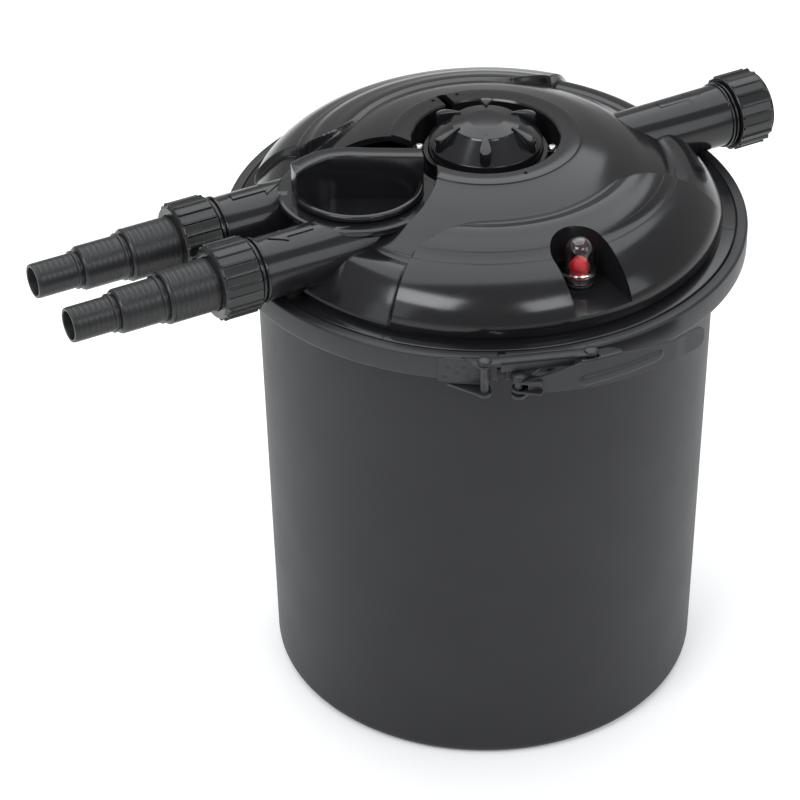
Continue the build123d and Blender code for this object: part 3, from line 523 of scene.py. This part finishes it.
# ---- Clamp ring: roll-formed steel C section, powder coated dark grey ----
# It is split at the front; its two lips pull rim and lid together as the ends close.
GAP_AZ = -116.3
coat = Finish("powder_coat", Specular_IOR_Level=0.42)
coat_mottle = coat.ramp(coat.noise(14.0, 4.0), 0.3, 0.75)
coat.feed("Base Color", coat.blend(coat_mottle, (0.0125, 0.0125, 0.014, 1), (0.0165, 0.0165, 0.018, 1)))
coat.feed("Roughness", coat.noise(40.0, 3.0) * 0.14 + 0.36)
orange_peel = coat.noise(620.0, 2.0) + coat.noise(160.0, 1.0) * 0.6
coat.feed("Normal", coat.bump(orange_peel, 0.03))
band_line = rounded([(184.5, 384.2, 0.5), (190.4, 384.2, 1.2), (190.4, 368.4, 1.2), (184.5, 368.4, 0.5),
                     (184.5, 366.4, 0.7), (192.5, 366.4, 2.6), (192.5, 386.2, 2.4), (184.5, 386.2, 0.7)], 5)
band = lathe("band", band_line, 288, arc=(GAP_AZ + 0.9, GAP_AZ + 359.1))
put("clamp_band", band, coat, "root", "clamp_steel", "clamp_ring")


# ---- Hinge plates: two pressed brackets spot welded to the ring beside its split ----
# Each has an ear above and below that carries a rivet; the weld spots leave shallow round marks.
def bent_sheet(name, low_high, radius, thick, stations, rows=10):
    """Sheet bent to the ring's curve: low_high(az) gives its edges, radius(az, z) its inner face."""
    grid = []
    for azimuth in stations:
        low, high = low_high(azimuth)
        for z in np.linspace(low, high, rows):
            r = radius(azimuth, z)
            grid.append([(*polar(r + t, azimuth), z) for t in (0, thick)])
    points = [g[0] for g in grid] + [g[1] for g in grid]
    n, m, half = len(stations), rows, len(grid)
    faces = []
    for i in range(n - 1):
        for j in range(m - 1):
            a, b, c, d = i * m + j, (i + 1) * m + j, (i + 1) * m + j + 1, i * m + j + 1
            faces += [(d, c, b, a), (a + half, b + half, c + half, d + half)]
    rim = [i * m for i in range(n)] + [(n - 1) * m + j for j in range(1, m)]
    rim += [i * m + m - 1 for i in range(n - 2, -1, -1)] + [j for j in range(m - 2, 0, -1)]
    faces += [(a, b, b + half, a + half) for a, b in zip(rim, rim[1:] + rim[:1])]
    return mesh_from(name, points, faces)


def softened(mesh, width=0.45, angle=40):
    """Rolls the cut edges of sheet metal over by a small radius."""
    blank = new_piece("blank", mesh)
    roll = blank.modifiers.new("roll", "BEVEL")
    roll.width, roll.segments, roll.limit_method = width * MM, 2, "ANGLE"
    roll.angle_limit = math.radians(angle)
    bpy.context.view_layer.update()
    made = bpy.data.meshes.new_from_object(blank.evaluated_get(bpy.context.evaluated_depsgraph_get()))
    bpy.data.objects.remove(blank)
    return made


EAR_R = 5.2


def ear(pin, base, low, thick=2.0):
    """Flat ear from the ring out to a pin: base gives two azimuths on the ring."""
    spots = [(pin[0] + EAR_R * math.cos(a), pin[1] + EAR_R * math.sin(a))
             for a in np.linspace(0, 2 * math.pi, 25)[:-1]]
    spots += [polar(192.0, azimuth) for azimuth in base]
    outline = [spots[i] for i in convex_hull_2d(spots)]
    return softened(prism(outline, low, low + thick), 0.4)


def weld_marks(*spots):
    """Shallow dimples at (azimuth, height) on the ring's radius."""
    def depth(azimuth, z):
        gaps = [math.hypot(math.radians(azimuth - a) * 194, z - h) for a, h in spots]
        return -0.55 * float(soft_step(1 - min(gaps) / 3.1))
    return depth


HINGE, FULCRUM, JOIN = polar(200.0, -119.8), polar(203.0, -113.1), polar(200.5, -98.4)
PLATE_R = 192.3
left_marks = weld_marks((-127.8, 372), (-125.2, 376), (-122.9, 372.5), (-127.0, 380), (-123.8, 380.5))
left_sheet = bent_sheet("left", lambda az: (366.6, 386.0 - 1.4 * soft_step((-az - 126.5) / 3)),
                        lambda az, z: PLATE_R + left_marks(az, z), 2.1, np.linspace(-129.3, -119.0, 60), 40)
right_marks = weld_marks((-108.5, 371), (-106.6, 376))
right_sheet = bent_sheet("right", lambda az: (366.6, 379.0), lambda az, z: PLATE_R + right_marks(az, z),
                         2.1, np.linspace(-113.6, -105.1, 44), 28)
left_plate = join("left", softened(left_sheet, 0.4, 50), ear(HINGE, (-127.5, -118.7), 362.0),
                  ear(HINGE, (-124.5, -118.7), 384.9))
right_plate = join("right", softened(right_sheet, 0.4, 50), ear(FULCRUM, (-114.0, -107.0), 362.0),
                   ear(FULCRUM, (-114.0, -107.0), 376.5))
put("left_hinge_plate", left_plate, coat, "root", "clamp_steel", "left_bracket")
put("right_hinge_plate", right_plate, coat, "root", "clamp_steel", "right_bracket")


def rivet(low, high, place):
    """Shank with a domed head at each end, between the outer faces of the plates."""
    line = rounded([(0, low - 2.1), (2.6, low - 1.9), (4.8, low - 0.9, 1), (5.0, low), (3.0, low), (3.0, high),
                    (5.0, high), (4.8, high + 0.9, 1), (2.6, high + 1.9), (0, high + 2.1)], 3)
    return lathe("rivet", line, 40, "z", (*place, 0), sharp=50)


zinc = Finish("blackened_zinc", Metallic=0.25)
zinc_mottle = zinc.ramp(zinc.noise(240.0, 4.0), 0.35, 0.7)
zinc.feed("Base Color", zinc.blend(zinc_mottle, (0.016, 0.016, 0.018, 1), (0.034, 0.034, 0.037, 1)))
zinc.feed("Roughness", zinc.noise(300.0, 3.0) * 0.2 + 0.3)
zinc.feed("Normal", zinc.bump(zinc.noise(900.0, 3.0), 0.03))
put("hinge_rivet", rivet(362.0, 389.2, HINGE), zinc, "root", "rivet_steel", "link_pin")
put("fulcrum_rivet", rivet(362.0, 378.5, FULCRUM), zinc, "root", "rivet_steel", "fulcrum_pin")


# ---- Toggle link: short pressed channel that pulls the ring's left end ----
# Flat round ends take the rivets; between them the edges are folded down for stiffness.
def capsule(start, end, half, low, high):
    """Flat bar with round ends on plan."""
    turn = math.atan2(end[1] - start[1], end[0] - start[0])
    line = []
    for middle, first in ((end, -math.pi / 2), (start, math.pi / 2)):
        line += [(middle[0] + half * math.cos(turn + a), middle[1] + half * math.sin(turn + a))
                 for a in np.linspace(first, first + math.pi, 17)]
    return prism(line, low, high)


def along(start, end, share, side):
    """A spot between two points, moved sideways in millimetres."""
    span = math.dist(start, end)
    ux, uy = (end[0] - start[0]) / span, (end[1] - start[1]) / span
    return start[0] + ux * span * share - uy * side, start[1] + uy * span * share + ux * side


strap = softened(capsule(HINGE, JOIN, 4.7, 387.2, 389.0), 0.4)
folds = []
for side, low in ((-4.7, 381.4), (3.2, 387.4)):
    corners = ((0.14, side), (0.84, side), (0.84, side + 1.5), (0.14, side + 1.5))
    folds.append(softened(prism([along(HINGE, JOIN, *corner) for corner in corners], low, 389.6), 0.6))
put("toggle_link", join("link", strap, *folds), coat, "link", "clamp_steel", "latch_link")
put("toggle_rivet", rivet(383.8, 389.2, JOIN), zinc, "link", "rivet_steel", "link_rivet")


# ---- Clamp lever: pressed steel hand lever that folds flat along the ring ----
# A stiffening rib is stamped into its web; the free end is a plain rounded grip.
LEVER_FROM, LEVER_TO = -111.5, -71.8
END_ROUND = 6.5
MM_PER_DEGREE = 3.613


def lever_edges(azimuth):
    """Lower and upper edge of the web; its free end is rounded."""
    low = np.interp(azimuth, (LEVER_FROM, -98.4, -82, -77, LEVER_TO), (366.4, 364.0, 364.2, 362.8, 362.6))
    high = np.interp(azimuth, (LEVER_FROM, -101.0, -92.5, -80.5, -77.5, LEVER_TO),
                     (376.5, 386.0, 386.0, 380.2, 379.4, 378.6))
    left = math.radians(LEVER_TO - azimuth) * 207
    corner = END_ROUND - math.sqrt(max(0, END_ROUND**2 - (END_ROUND - min(left, END_ROUND))**2))
    return low + corner, high - corner


def lever_face(azimuth, z):
    """Radius of the web's inner face: a long rib stands out and the grip bows in."""
    start, end = (-100.5, 370.5), (-84.5, 374.0)
    run = ((azimuth - start[0]) * MM_PER_DEGREE, z - start[1])
    span = ((end[0] - start[0]) * MM_PER_DEGREE, end[1] - start[1])
    share = np.clip((run[0] * span[0] + run[1] * span[1]) / (span[0]**2 + span[1]**2), 0, 1)
    gap = math.hypot(run[0] - share * span[0], run[1] - share * span[1])
    rib = 1.5 * float(soft_step((4.6 - gap) / 2.6))
    bow = 1.2 * float(soft_step((azimuth + 80.5) / 3.5))
    return 206.0 + rib - bow


round_end = END_ROUND - END_ROUND * np.sin(np.linspace(0, math.pi / 2, 14))
lever_stations = np.concatenate([np.linspace(LEVER_FROM, -74.0, 150), LEVER_TO - round_end / MM_PER_DEGREE])
lever_stations = np.unique(np.round(lever_stations, 4))
web_plate = softened(bent_sheet("web", lever_edges, lever_face, 2.0, lever_stations, 34), 0.45, 50)
flange_line = [polar(207.5, az) for az in np.linspace(-101.0, -92.6, 12)]
flange_line += [polar(*corner) for corner in ((203.0, -92.2), (197.2, -94.2), (197.0, -97.2), (205.4, -97.2),
                                              (205.4, -99.8), (199.0, -99.9), (198.6, -101.0))]
flange = softened(prism(flange_line, 384.8, 386.6), 0.35)
arm_foot = polar(207, -109.2)
arm_plan = [along(FULCRUM, arm_foot, 0, side) for side in (-5.0, 5.0)]
arm_plan += [along(FULCRUM, arm_foot, 1.15, side) for side in (4.2, -5.6)]
arms = []
for low in (366.4, 374.3):
    arms += [softened(prism(arm_plan, low, low + 2), 0.35),
             softened(disc(5.0, low, low + 2, *FULCRUM, 40), 0.35)]
put("clamp_handle", join("handle", web_plate, flange, *arms), coat, "lever", "clamp_steel", "clamp_lever")


# ---- Hose tails: turned-looking moulded spigots in three sizes, 25, 32 and 38 mm ----
# Fine rings hold the hose, a bead marks each size, and a flange inside the nut seals on a gasket.
def tail_line():
    """Outline of a spigot from its free end: each step has fine rings and ends in a bead."""
    line = [(10.1, -343.5, 0.6), (12.2, -343.5, 0.5)]
    x = -342.6
    for radius, stop in ((12.5, -309.5), (15.9, -274.5), (19.0, -230.5)):
        s = x + 1.4
        while s < stop - 6:
            line += [(radius, s - 0.22), (radius - 0.15, s), (radius, s + 0.22)]
            s += 1.9 + 0.9 * math.sin(3.1 * s)
        if stop < -240:
            line += [(radius, stop - 4.6), (radius + 0.1, stop - 4.4), (radius + 1.3, stop - 4.0, 0.6),
                     (radius + 1.4, stop - 2.2, 0.8), (radius - 0.3, stop - 1.5), (radius - 0.3, stop - 0.1),
                     (radius + 2.3, stop, 1.2), (radius + 3.4, stop + 1.9, 1.4)]
            x = stop + 1.9
    return line + [(19.0, -230.2), (23.4, -230, 0.4), (23.4, -225, 0.4), (10.1, -225, 0.4)]


tail_finish = moulded("tail_plastic", (0.010, 0.010, 0.0108), 1.4, 0.36, 700.0, 0.02, 0.08,
                      Specular_IOR_Level=0.42)
turned_marks = tail_finish.noise(900.0, 3.0, (1, 0.012, 0.012), 0.7)
tail_finish.feed("Normal", tail_finish.bump(turned_marks, 0.06))
for side, node in ((PIPE_Y, "inlet_hose_tail"), (-PIPE_Y, "drain_hose_tail")):
    spigot = lathe("tail", rounded(tail_line(), 3), 88, "x", (0, side, PIPE_Z), sharp=50)
    put(node.replace("hose_tail", "tail_spigot"), spigot, tail_finish, "root", "tail_plastic", node)


# ---- Union nuts: ribbed caps that pull tail and gasket onto the pipe ----
# Twenty ridges give wet hands a grip; the flats between them are slightly hollow.
# The face is chamfered.
RIDGES = 20
nut_finish = moulded("nut_plastic", (0.0095, 0.0095, 0.0102), 1.35, 0.27, 800.0, 0.02, 0.1,
                     Specular_IOR_Level=0.45)


def ribbed_nut(radius, length):
    """Nut along X from its face at 0; its ridges stop short of both ends."""
    def ridge(r, s, angle):
        if r < radius - 3.2 or not 0.4 < s < length - 0.6:
            return r, s
        pitch = 2 * math.pi / RIDGES
        off = (angle + pitch / 2) % pitch - pitch / 2
        flat = (radius - 1.5) * (math.cos(pitch / 2) / math.cos(pitch / 2 - abs(off)))
        width = abs(off) * radius
        crest = float(soft_step((1.55 - width) / 0.75))
        ends = float(soft_step((s - 1.4) / 1.0)) * float(soft_step((length - 0.8 - s) / 0.5))
        knob = 0.25 * float(soft_step(1 - abs(s - 3.2) / 1.4))
        top = flat + (radius + knob - 0.25 - flat) * crest * ends
        chamfer = 2.0 * float(soft_step((2.6 - s) / 2.6))
        return top - chamfer, s

    face = [(19.5, 0, 0.4), (radius - 3.1, 0)]
    stations = (0.5, 1.0, 1.5, 2.0, 2.6, 3.2, 3.8, 4.6, 6, 10, 15, 20,
                length - 6, length - 2.5, length - 1.4, length - 1.0, length - 0.7)
    sides = [(radius - 1.2, s) for s in stations]
    back = [(radius - 1.6, length - 0.5), (radius - 2.0, length), (24.4, length), (24.4, 6.2), (19.5, 6.2)]
    return lathe("nut", rounded(face + sides + back, 3), 480, "x", (0, 0, 0), shape=ridge, sharp=38)


def place_nut(side, radius, x, y, z, turn=0):
    mesh = ribbed_nut(radius, 29.0)
    mesh.transform(Matrix.Translation((x * MM, y * MM, z * MM)) @ Matrix.Rotation(turn, 4, "Z"))
    put(side + "_ribbed_nut", mesh, nut_finish, side + "_nut", "nut_plastic", side + "_union_nut", sharp=38)


place_nut("inlet", 27.8, -237.0, PIPE_Y, PIPE_Z)
place_nut("drain", 27.8, -237.0, -PIPE_Y, PIPE_Z)
place_nut("outlet", 29.0, 236.0, 0, OUTLET_Z, math.pi)


# ---- Diverter valve: a deep cup with a curved wall across it to turn it by ----
# The same gloss black plastic as the lid; a stem under the cup turns the rotor in its chamber.
GRIP_TURN = math.radians(-30)
grip_keys = np.array([(-47.5, -18.5), (-41, -8.5), (-35, -1.8), (-23, 7.6), (-9, 10.8), (9, 10.4),
                      (28, 10.1), (48, 10.0)])


def smooth_path(keys, count):
    """Evenly spaced points on a smooth curve through the keys."""
    spans = np.concatenate([[0], np.cumsum(np.linalg.norm(np.diff(keys, axis=0), axis=1))])
    slopes = np.gradient(keys, spans, axis=0)
    made = []
    for t in np.linspace(0, spans[-1], count):
        i = min(max(np.searchsorted(spans, t) - 1, 0), len(keys) - 2)
        w = spans[i + 1] - spans[i]
        s = (t - spans[i]) / w
        made.append((2 * s**3 - 3 * s**2 + 1) * keys[i] + (s**3 - 2 * s**2 + s) * w * slopes[i]
                    + (-2 * s**3 + 3 * s**2) * keys[i + 1] + (s**3 - s**2) * w * slopes[i + 1])
    return np.array(made)


def loft(name, sections):
    """Closed solid through cross sections of equal point count."""
    n, m = len(sections), len(sections[0])
    points = [tuple(p) for section in sections for p in section]
    faces = [(i * m + j, i * m + (j + 1) % m, (i + 1) * m + (j + 1) % m, (i + 1) * m + j)
             for i in range(n - 1) for j in range(m)]
    faces += [tuple(range(m)), tuple((n - 1) * m + j for j in reversed(range(m)))]
    return mesh_from(name, points, faces)


path = smooth_path(grip_keys, 60)
ways = np.gradient(path, axis=0)
ways /= np.linalg.norm(ways, axis=1)[:, None]
wall_section = rounded([(-6.9, 424.5), (-6.9, 461, 1.8), (6.9, 461, 1.8), (6.9, 424.5)], 5)
sections = []
for spot, way in zip(path, ways):
    section = []
    for offset, z in wall_section:
        draft = (441 - z) * 0.012 * (1 if offset > 0 else -1)
        x, y = spot[0] - way[1] * (offset + draft), spot[1] + way[0] * (offset + draft)
        section.append((VALVE_X + x * math.cos(GRIP_TURN) - y * math.sin(GRIP_TURN),
                        x * math.sin(GRIP_TURN) + y * math.cos(GRIP_TURN), z))
    sections.append(section)
cup_line = rounded([(0, 423.6), (44.2, 423.6, 1.5), (44.6, 436.0), (47.3, 437.2, 0.9), (47.3, 441.2, 1.7),
                    (43.6, 441.4, 1.3), (42.6, 439.4), (41.8, 426.4, 5), (0, 426.2)], 6)
lip_line = rounded([(0, 420), (47.2, 420), (47.2, 459.6, 1.2), (46.4, 470), (0, 470)], 3)
lip_cut = lathe("lip_cut", lip_line, 120, "z", (VALVE_X, 0, 0))
grip_wall = carve(loft("wall", sections), ("INTERSECT", lip_cut))
dial = carve(lathe("cup", cup_line, 144, "z", (VALVE_X, 0, 0)), ("UNION", grip_wall))
put("diverter_dial", dial, lid_finish, "valve", "lid_plastic", "valve_dial", sharp=26)
stem_line = rounded([(0, 399), (6, 399, 0.6), (6, 423.4, 0.3), (0, 423.4)], 3)
acetal = moulded("inner_plastic", (0.022, 0.022, 0.024), 1.4, 0.42, 600.0, 0.03, 0.1)
stem = lathe("stem", stem_line, 48, "z", (VALVE_X, 0, 0))
put("valve_stem", stem, acetal, "valve", "media_plastic", "valve_spindle")
plates = []
for low in (392.4, 415.6):
    plate_line = rounded([(6.4, low), (32.4, low, 0.4), (32.4, low + 3.5, 0.4), (6.4, low + 3.5)], 3)
    plates.append(lathe("plate", plate_line, 72, "z", (VALVE_X, 0, 0)))
hub = lathe("hub", [(6.4, 394), (10, 394), (10, 418), (6.4, 418)], 48, "z", (VALVE_X, 0, 0))
vane = carve(bar(VALVE_X - 32, VALVE_X + 32, -2.5, 2.5, 393, 418),
             ("DIFFERENCE", disc(8, 380, 430, VALVE_X)))
rotor = carve(hub, ("UNION", plates[0]), ("UNION", plates[1]), ("UNION", vane),
              ("DIFFERENCE", disc(13, 380, 397, VALVE_X + 18)))
put("valve_drum", rotor, acetal, "valve", "media_plastic", "valve_rotor")


# ---- UV-C unit: a finned turning cap in the lid's recess, held by a ring with two screws ----
# The cap carries the lamp holder, the lamp and the quartz sleeve that hangs in the riser tube.
dress(lid_finish, "uv_retaining_ring")
cap_line = rounded([(0, 425.2), (40.9, 425.2, 0.8), (41.5, 447.4, 1.6), (25.9, 460.4, 0.8), (24.9, 461.7, 1.2),
                    (13, 464.0, 8), (0, 464.5)], 7)
cap = lathe("cap", cap_line, 144)


def fin(turn):
    """Pointed grip fin that widens outwards and ends round, in line with a radius."""
    sections = []
    nose = 37.2 + 3.9 * np.sin(np.linspace(0.1, math.pi / 2, 10))
    for r in np.concatenate([np.linspace(21.5, 37.2, 16), nose]):
        half = 0.5 + 3.7 * min(1, max(0, (r - 21.5) / 14.5)) ** 0.9
        if r > 37.2:
            half *= math.sqrt(max(0.0004, 1 - ((r - 37.2) / 3.92) ** 2))
        top = 463.6 - 5.2 * max(0, (r - 23.5) / 17.5) ** 1.2
        lip = min(0.9, half * 0.6)
        line = [(-half, 440), (-half, top - lip), (-half + 0.3 * lip, top - 0.3 * lip), (-half + lip, top),
                (half - lip, top), (half - 0.3 * lip, top - 0.3 * lip), (half, top - lip), (half, 440)]
        c, s = math.cos(turn), math.sin(turn)
        sections.append([(r * c - y * s, r * s + y * c, z) for y, z in line])
    return loft("fin", sections)


fins = [("UNION", fin(math.radians(60 * k))) for k in range(6)]
cap = carve(cap, *fins, ("DIFFERENCE", disc(16.2, 420, 434)))
put("uv_turning_cap", cap, lid_finish, "uv_unit", "lid_plastic", "uv_knob", sharp=28)
steel = Finish("stainless_screw", Metallic=1.0)
steel.feed("Base Color", steel.blend(steel.noise(500.0, 4.0), (0.62, 0.61, 0.60, 1), (0.78, 0.77, 0.75, 1)))
steel.feed("Roughness", steel.noise(800.0, 3.0) * 0.16 + 0.2)
steel.feed("Normal", steel.bump(steel.noise(1600.0, 2.0), 0.02))
screw_line = rounded([(0, 427.4), (1.85, 427.4, 0.3), (1.85, 440.05), (3.5, 440.05, 0.2),
                      (3.5, 441.2, 0.8), (2.2, 442.4, 0.8), (0, 442.6)], 3)
heads = []
for azimuth in SCREW_AZIMUTHS:
    spot = polar(SCREW_CIRCLE, azimuth)
    slots = [prism([(-w, -h), (w, -h), (w, h), (-w, h)], 441.5, 444, spot) for w, h in ((1.9, 0.4), (0.4, 1.9))]
    heads.append(carve(lathe("head", screw_line, 36, "z", (*spot, 0)), *[("DIFFERENCE", m) for m in slots]))
put("ring_screws", join("heads", *heads), steel, "root", "screw_steel", "uv_ring_screws")
opal = moulded("lamp_white", (0.62, 0.62, 0.60), 1.15, 0.3, 900.0, 0.01, 0.1)
dress(opal, "lamp_holder")
tube_glass = Finish("lamp_glass", Transmission_Weight=0.35, IOR=1.46)
tube_glass.feed("Base Color", tube_glass.blend(tube_glass.noise(60.0, 3.0), (0.80, 0.83, 0.86, 1),
                                               (0.92, 0.94, 0.96, 1)))
tube_glass.feed("Roughness", tube_glass.noise(90.0, 2.0) * 0.2 + 0.25)
dress(tube_glass, "uv_lamp")
quartz = Finish("quartz_glass", Transmission_Weight=1.0, IOR=1.46)
quartz.feed("Base Color", quartz.blend(quartz.noise(30.0), (0.93, 0.95, 0.96, 1), (0.98, 0.99, 1.0, 1)))
quartz.feed("Roughness", quartz.noise(200.0, 3.0) * 0.04 + 0.02)
dress(quartz, "quartz_sleeve")


# ---- Flow indicator: red float under a clear dome in the lid's pocket ----
# A ribbed stub screws into the pocket's floor; the dome is moulded in clear acrylic with a small flange.
FLOAT_R, DOME_OUT, DOME_IN, DOME_MID = 7.1, 10.2, 8.8, 424.8
stub_line = [(3.2, 389.2), (8.0, 389.2), (8.0, 399.1), (11.2, 399.1, 0.4), (11.2, 401.2, 0.5), (9.4, 401.6)]
stub_line += [(9.6 if k % 2 else 8.9, 402.2 + 0.62 * k) for k in range(8)] + [(8.6, 407.3), (3.2, 407.3)]
stub = lathe("stub", rounded(stub_line, 3), 56, "z", (0, INDICATOR_Y, 0))
put("indicator_spigot", stub, nut_finish, "root", "lid_plastic", "indicator_stub")


def quarter(radius, middle, start, end, count):
    """Points of a quarter circle about the axis, from one angle off the axis to another."""
    return [(radius * math.sin(a), middle + radius * math.cos(a)) for a in np.linspace(start, end, count)]


dome_line = rounded([(DOME_IN, 407.4), (12.3, 407.4, 0.7), (12.3, 410.2, 0.9), (10.4, 410.6, 0.5)], 4)
dome_line += quarter(DOME_OUT, DOME_MID, math.pi / 2, 0, 16) + quarter(DOME_IN, DOME_MID, 0, math.pi / 2, 16)
acrylic = Finish("clear_acrylic", Transmission_Weight=1.0, IOR=1.47)
acrylic.feed("Base Color", acrylic.blend(acrylic.noise(60.0), (0.95, 0.955, 0.96, 1), (0.99, 0.99, 0.99, 1)))
acrylic.feed("Roughness", acrylic.ramp(acrylic.noise(160.0, 3.0), 0.5, 0.9) * 0.03 + 0.015)
bubble = lathe("bubble", dome_line, 72, "z", (0, INDICATOR_Y, 0))
put("indicator_bubble", bubble, acrylic, "root", "clear_plastic", "indicator_dome")
float_line = rounded([(0, 407.7), (6.4, 407.7, 1), (FLOAT_R, 410, 1)], 4)
float_line += quarter(FLOAT_R, 412.0, math.pi / 2, 0, 14)
red = Finish("float_red", Subsurface_Weight=0.1, Subsurface_Scale=0.002)
red_mottle = red.ramp(red.noise(120.0, 3.0), 0.35, 0.7)
red.feed("Base Color", red.blend(red_mottle, (0.62, 0.012, 0.02, 1), (0.74, 0.03, 0.035, 1)))
red.feed("Roughness", red.noise(200.0, 2.0) * 0.12 + 0.28)
red.feed("Normal", red.bump(red.noise(700.0, 2.0), 0.02))
red_float = lathe("float", float_line, 56, "z", (0, INDICATOR_Y, 0))
put("red_float", red_float, red, "float", "float_red", "indicator_float")


# ---- Inside the barrel: grids, riser, drain pipe, bio balls and four foam discs ----
# Moulded grids hold the media; the foam discs are cut from open-cell foam, coarse below and fine above.
dress(acetal, "lower_grid", "upper_grid", "riser_tube", "drain_pipe")


def ribbed_ball(x, y, z, radius):
    """Bio ball: a core with nine thin discs."""
    line = [(0, -radius)]
    for k in range(9):
        s = radius * (-0.86 + 0.215 * k)
        rim = math.sqrt(radius**2 - s**2)
        line += [(rim * 0.45, s - 1.1), (rim, s - 0.6), (rim, s + 0.6), (rim * 0.45, s + 1.1)]
    return lathe("ball", [(r, s + z) for r, s in line + [(0, radius)]], 20, "z", (x, y, 0))


BALL_R = 17.6
bed_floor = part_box("bio_balls")[0].z / MM
ball_spots = []
for ring_radius, number in ((68.0, 9), (136.0, 21)):
    for k in range(number):
        x, y = polar(ring_radius, 360 * (k + 0.5) / number)
        feet = min(math.dist((x, y), polar(110, 45 + 90 * q)) for q in range(4))
        if feet > 25.5 and math.hypot(x - VALVE_X, y) > 31.5:
            ball_spots.append((x, y))
balls = join("balls", *[ribbed_ball(x, y, bed_floor + BALL_R + 0.4, BALL_R) for x, y in ball_spots])
put("bio_ball_bed", balls, acetal, "root", "media_plastic", "bio_balls")


def foam_finish(name, dark, pale, cells):
    """Open-cell foam: pale cell walls, with painted shade darkening the cell mouths between them."""
    foam = Finish(name, Roughness=0.9, Specular_IOR_Level=0.15)
    mouths = foam.node("TexVoronoi", {"feature": "DISTANCE_TO_EDGE"}, {"Vector": foam.place(), "Scale": cells})
    pore_depth_and_shade = foam.ramp(mouths, 0.02, 0.16)
    # The darker colour in the cell mouths is painted shade in the pores; the same mask sinks them in the bump
    # below.
    foam.feed("Base Color", foam.blend(pore_depth_and_shade, pale, dark))
    foam.feed("Normal", foam.bump(1 - pore_depth_and_shade, 0.8))
    return foam


# The first colour of each foam is the painted shade in its cell mouths, the second the foam's own colour.
coarse = foam_finish("coarse_foam", (0.004, 0.012, 0.045, 1), (0.02, 0.07, 0.24, 1), 260.0)
fine = foam_finish("fine_foam", (0.05, 0.035, 0.006, 1), (0.30, 0.23, 0.05, 1), 480.0)


def settled(bottom, number):
    """The top face of a foam disc sinks a little, in five shallow waves."""
    def sink(r, s, angle):
        wave = 0.6 * math.sin(5 * angle + number) * math.cos(r / 21) - 0.6
        return r, s + (wave if s > bottom + 30 else 0)
    return sink


for number in range(4):
    node = f"foam_disc_{number + 1}"
    lowest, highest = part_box(node)
    radius, low, high = highest.x / MM - 0.4, lowest.z / MM + 0.2, highest.z / MM - 0.2
    swell = rounded([(45.5, low, 2), (radius - 0.8, low, 4), (radius, (low + high) / 2, 30),
                     (radius - 0.8, high, 4), (45.5, high, 2)], 6)
    drain_hole = disc(14.2, low - 5, high + 5, VALVE_X, 0, 48)
    foam_mesh = carve(lathe("foam", swell, 96, shape=settled(low, number)), ("DIFFERENCE", drain_hole))
    kind, finish = ("coarse", coarse) if number < 2 else ("fine", fine)
    foam_piece = put(f"{kind}_foam_{number + 1}", foam_mesh, finish, "root", "foam_" + kind, node, sharp=50)
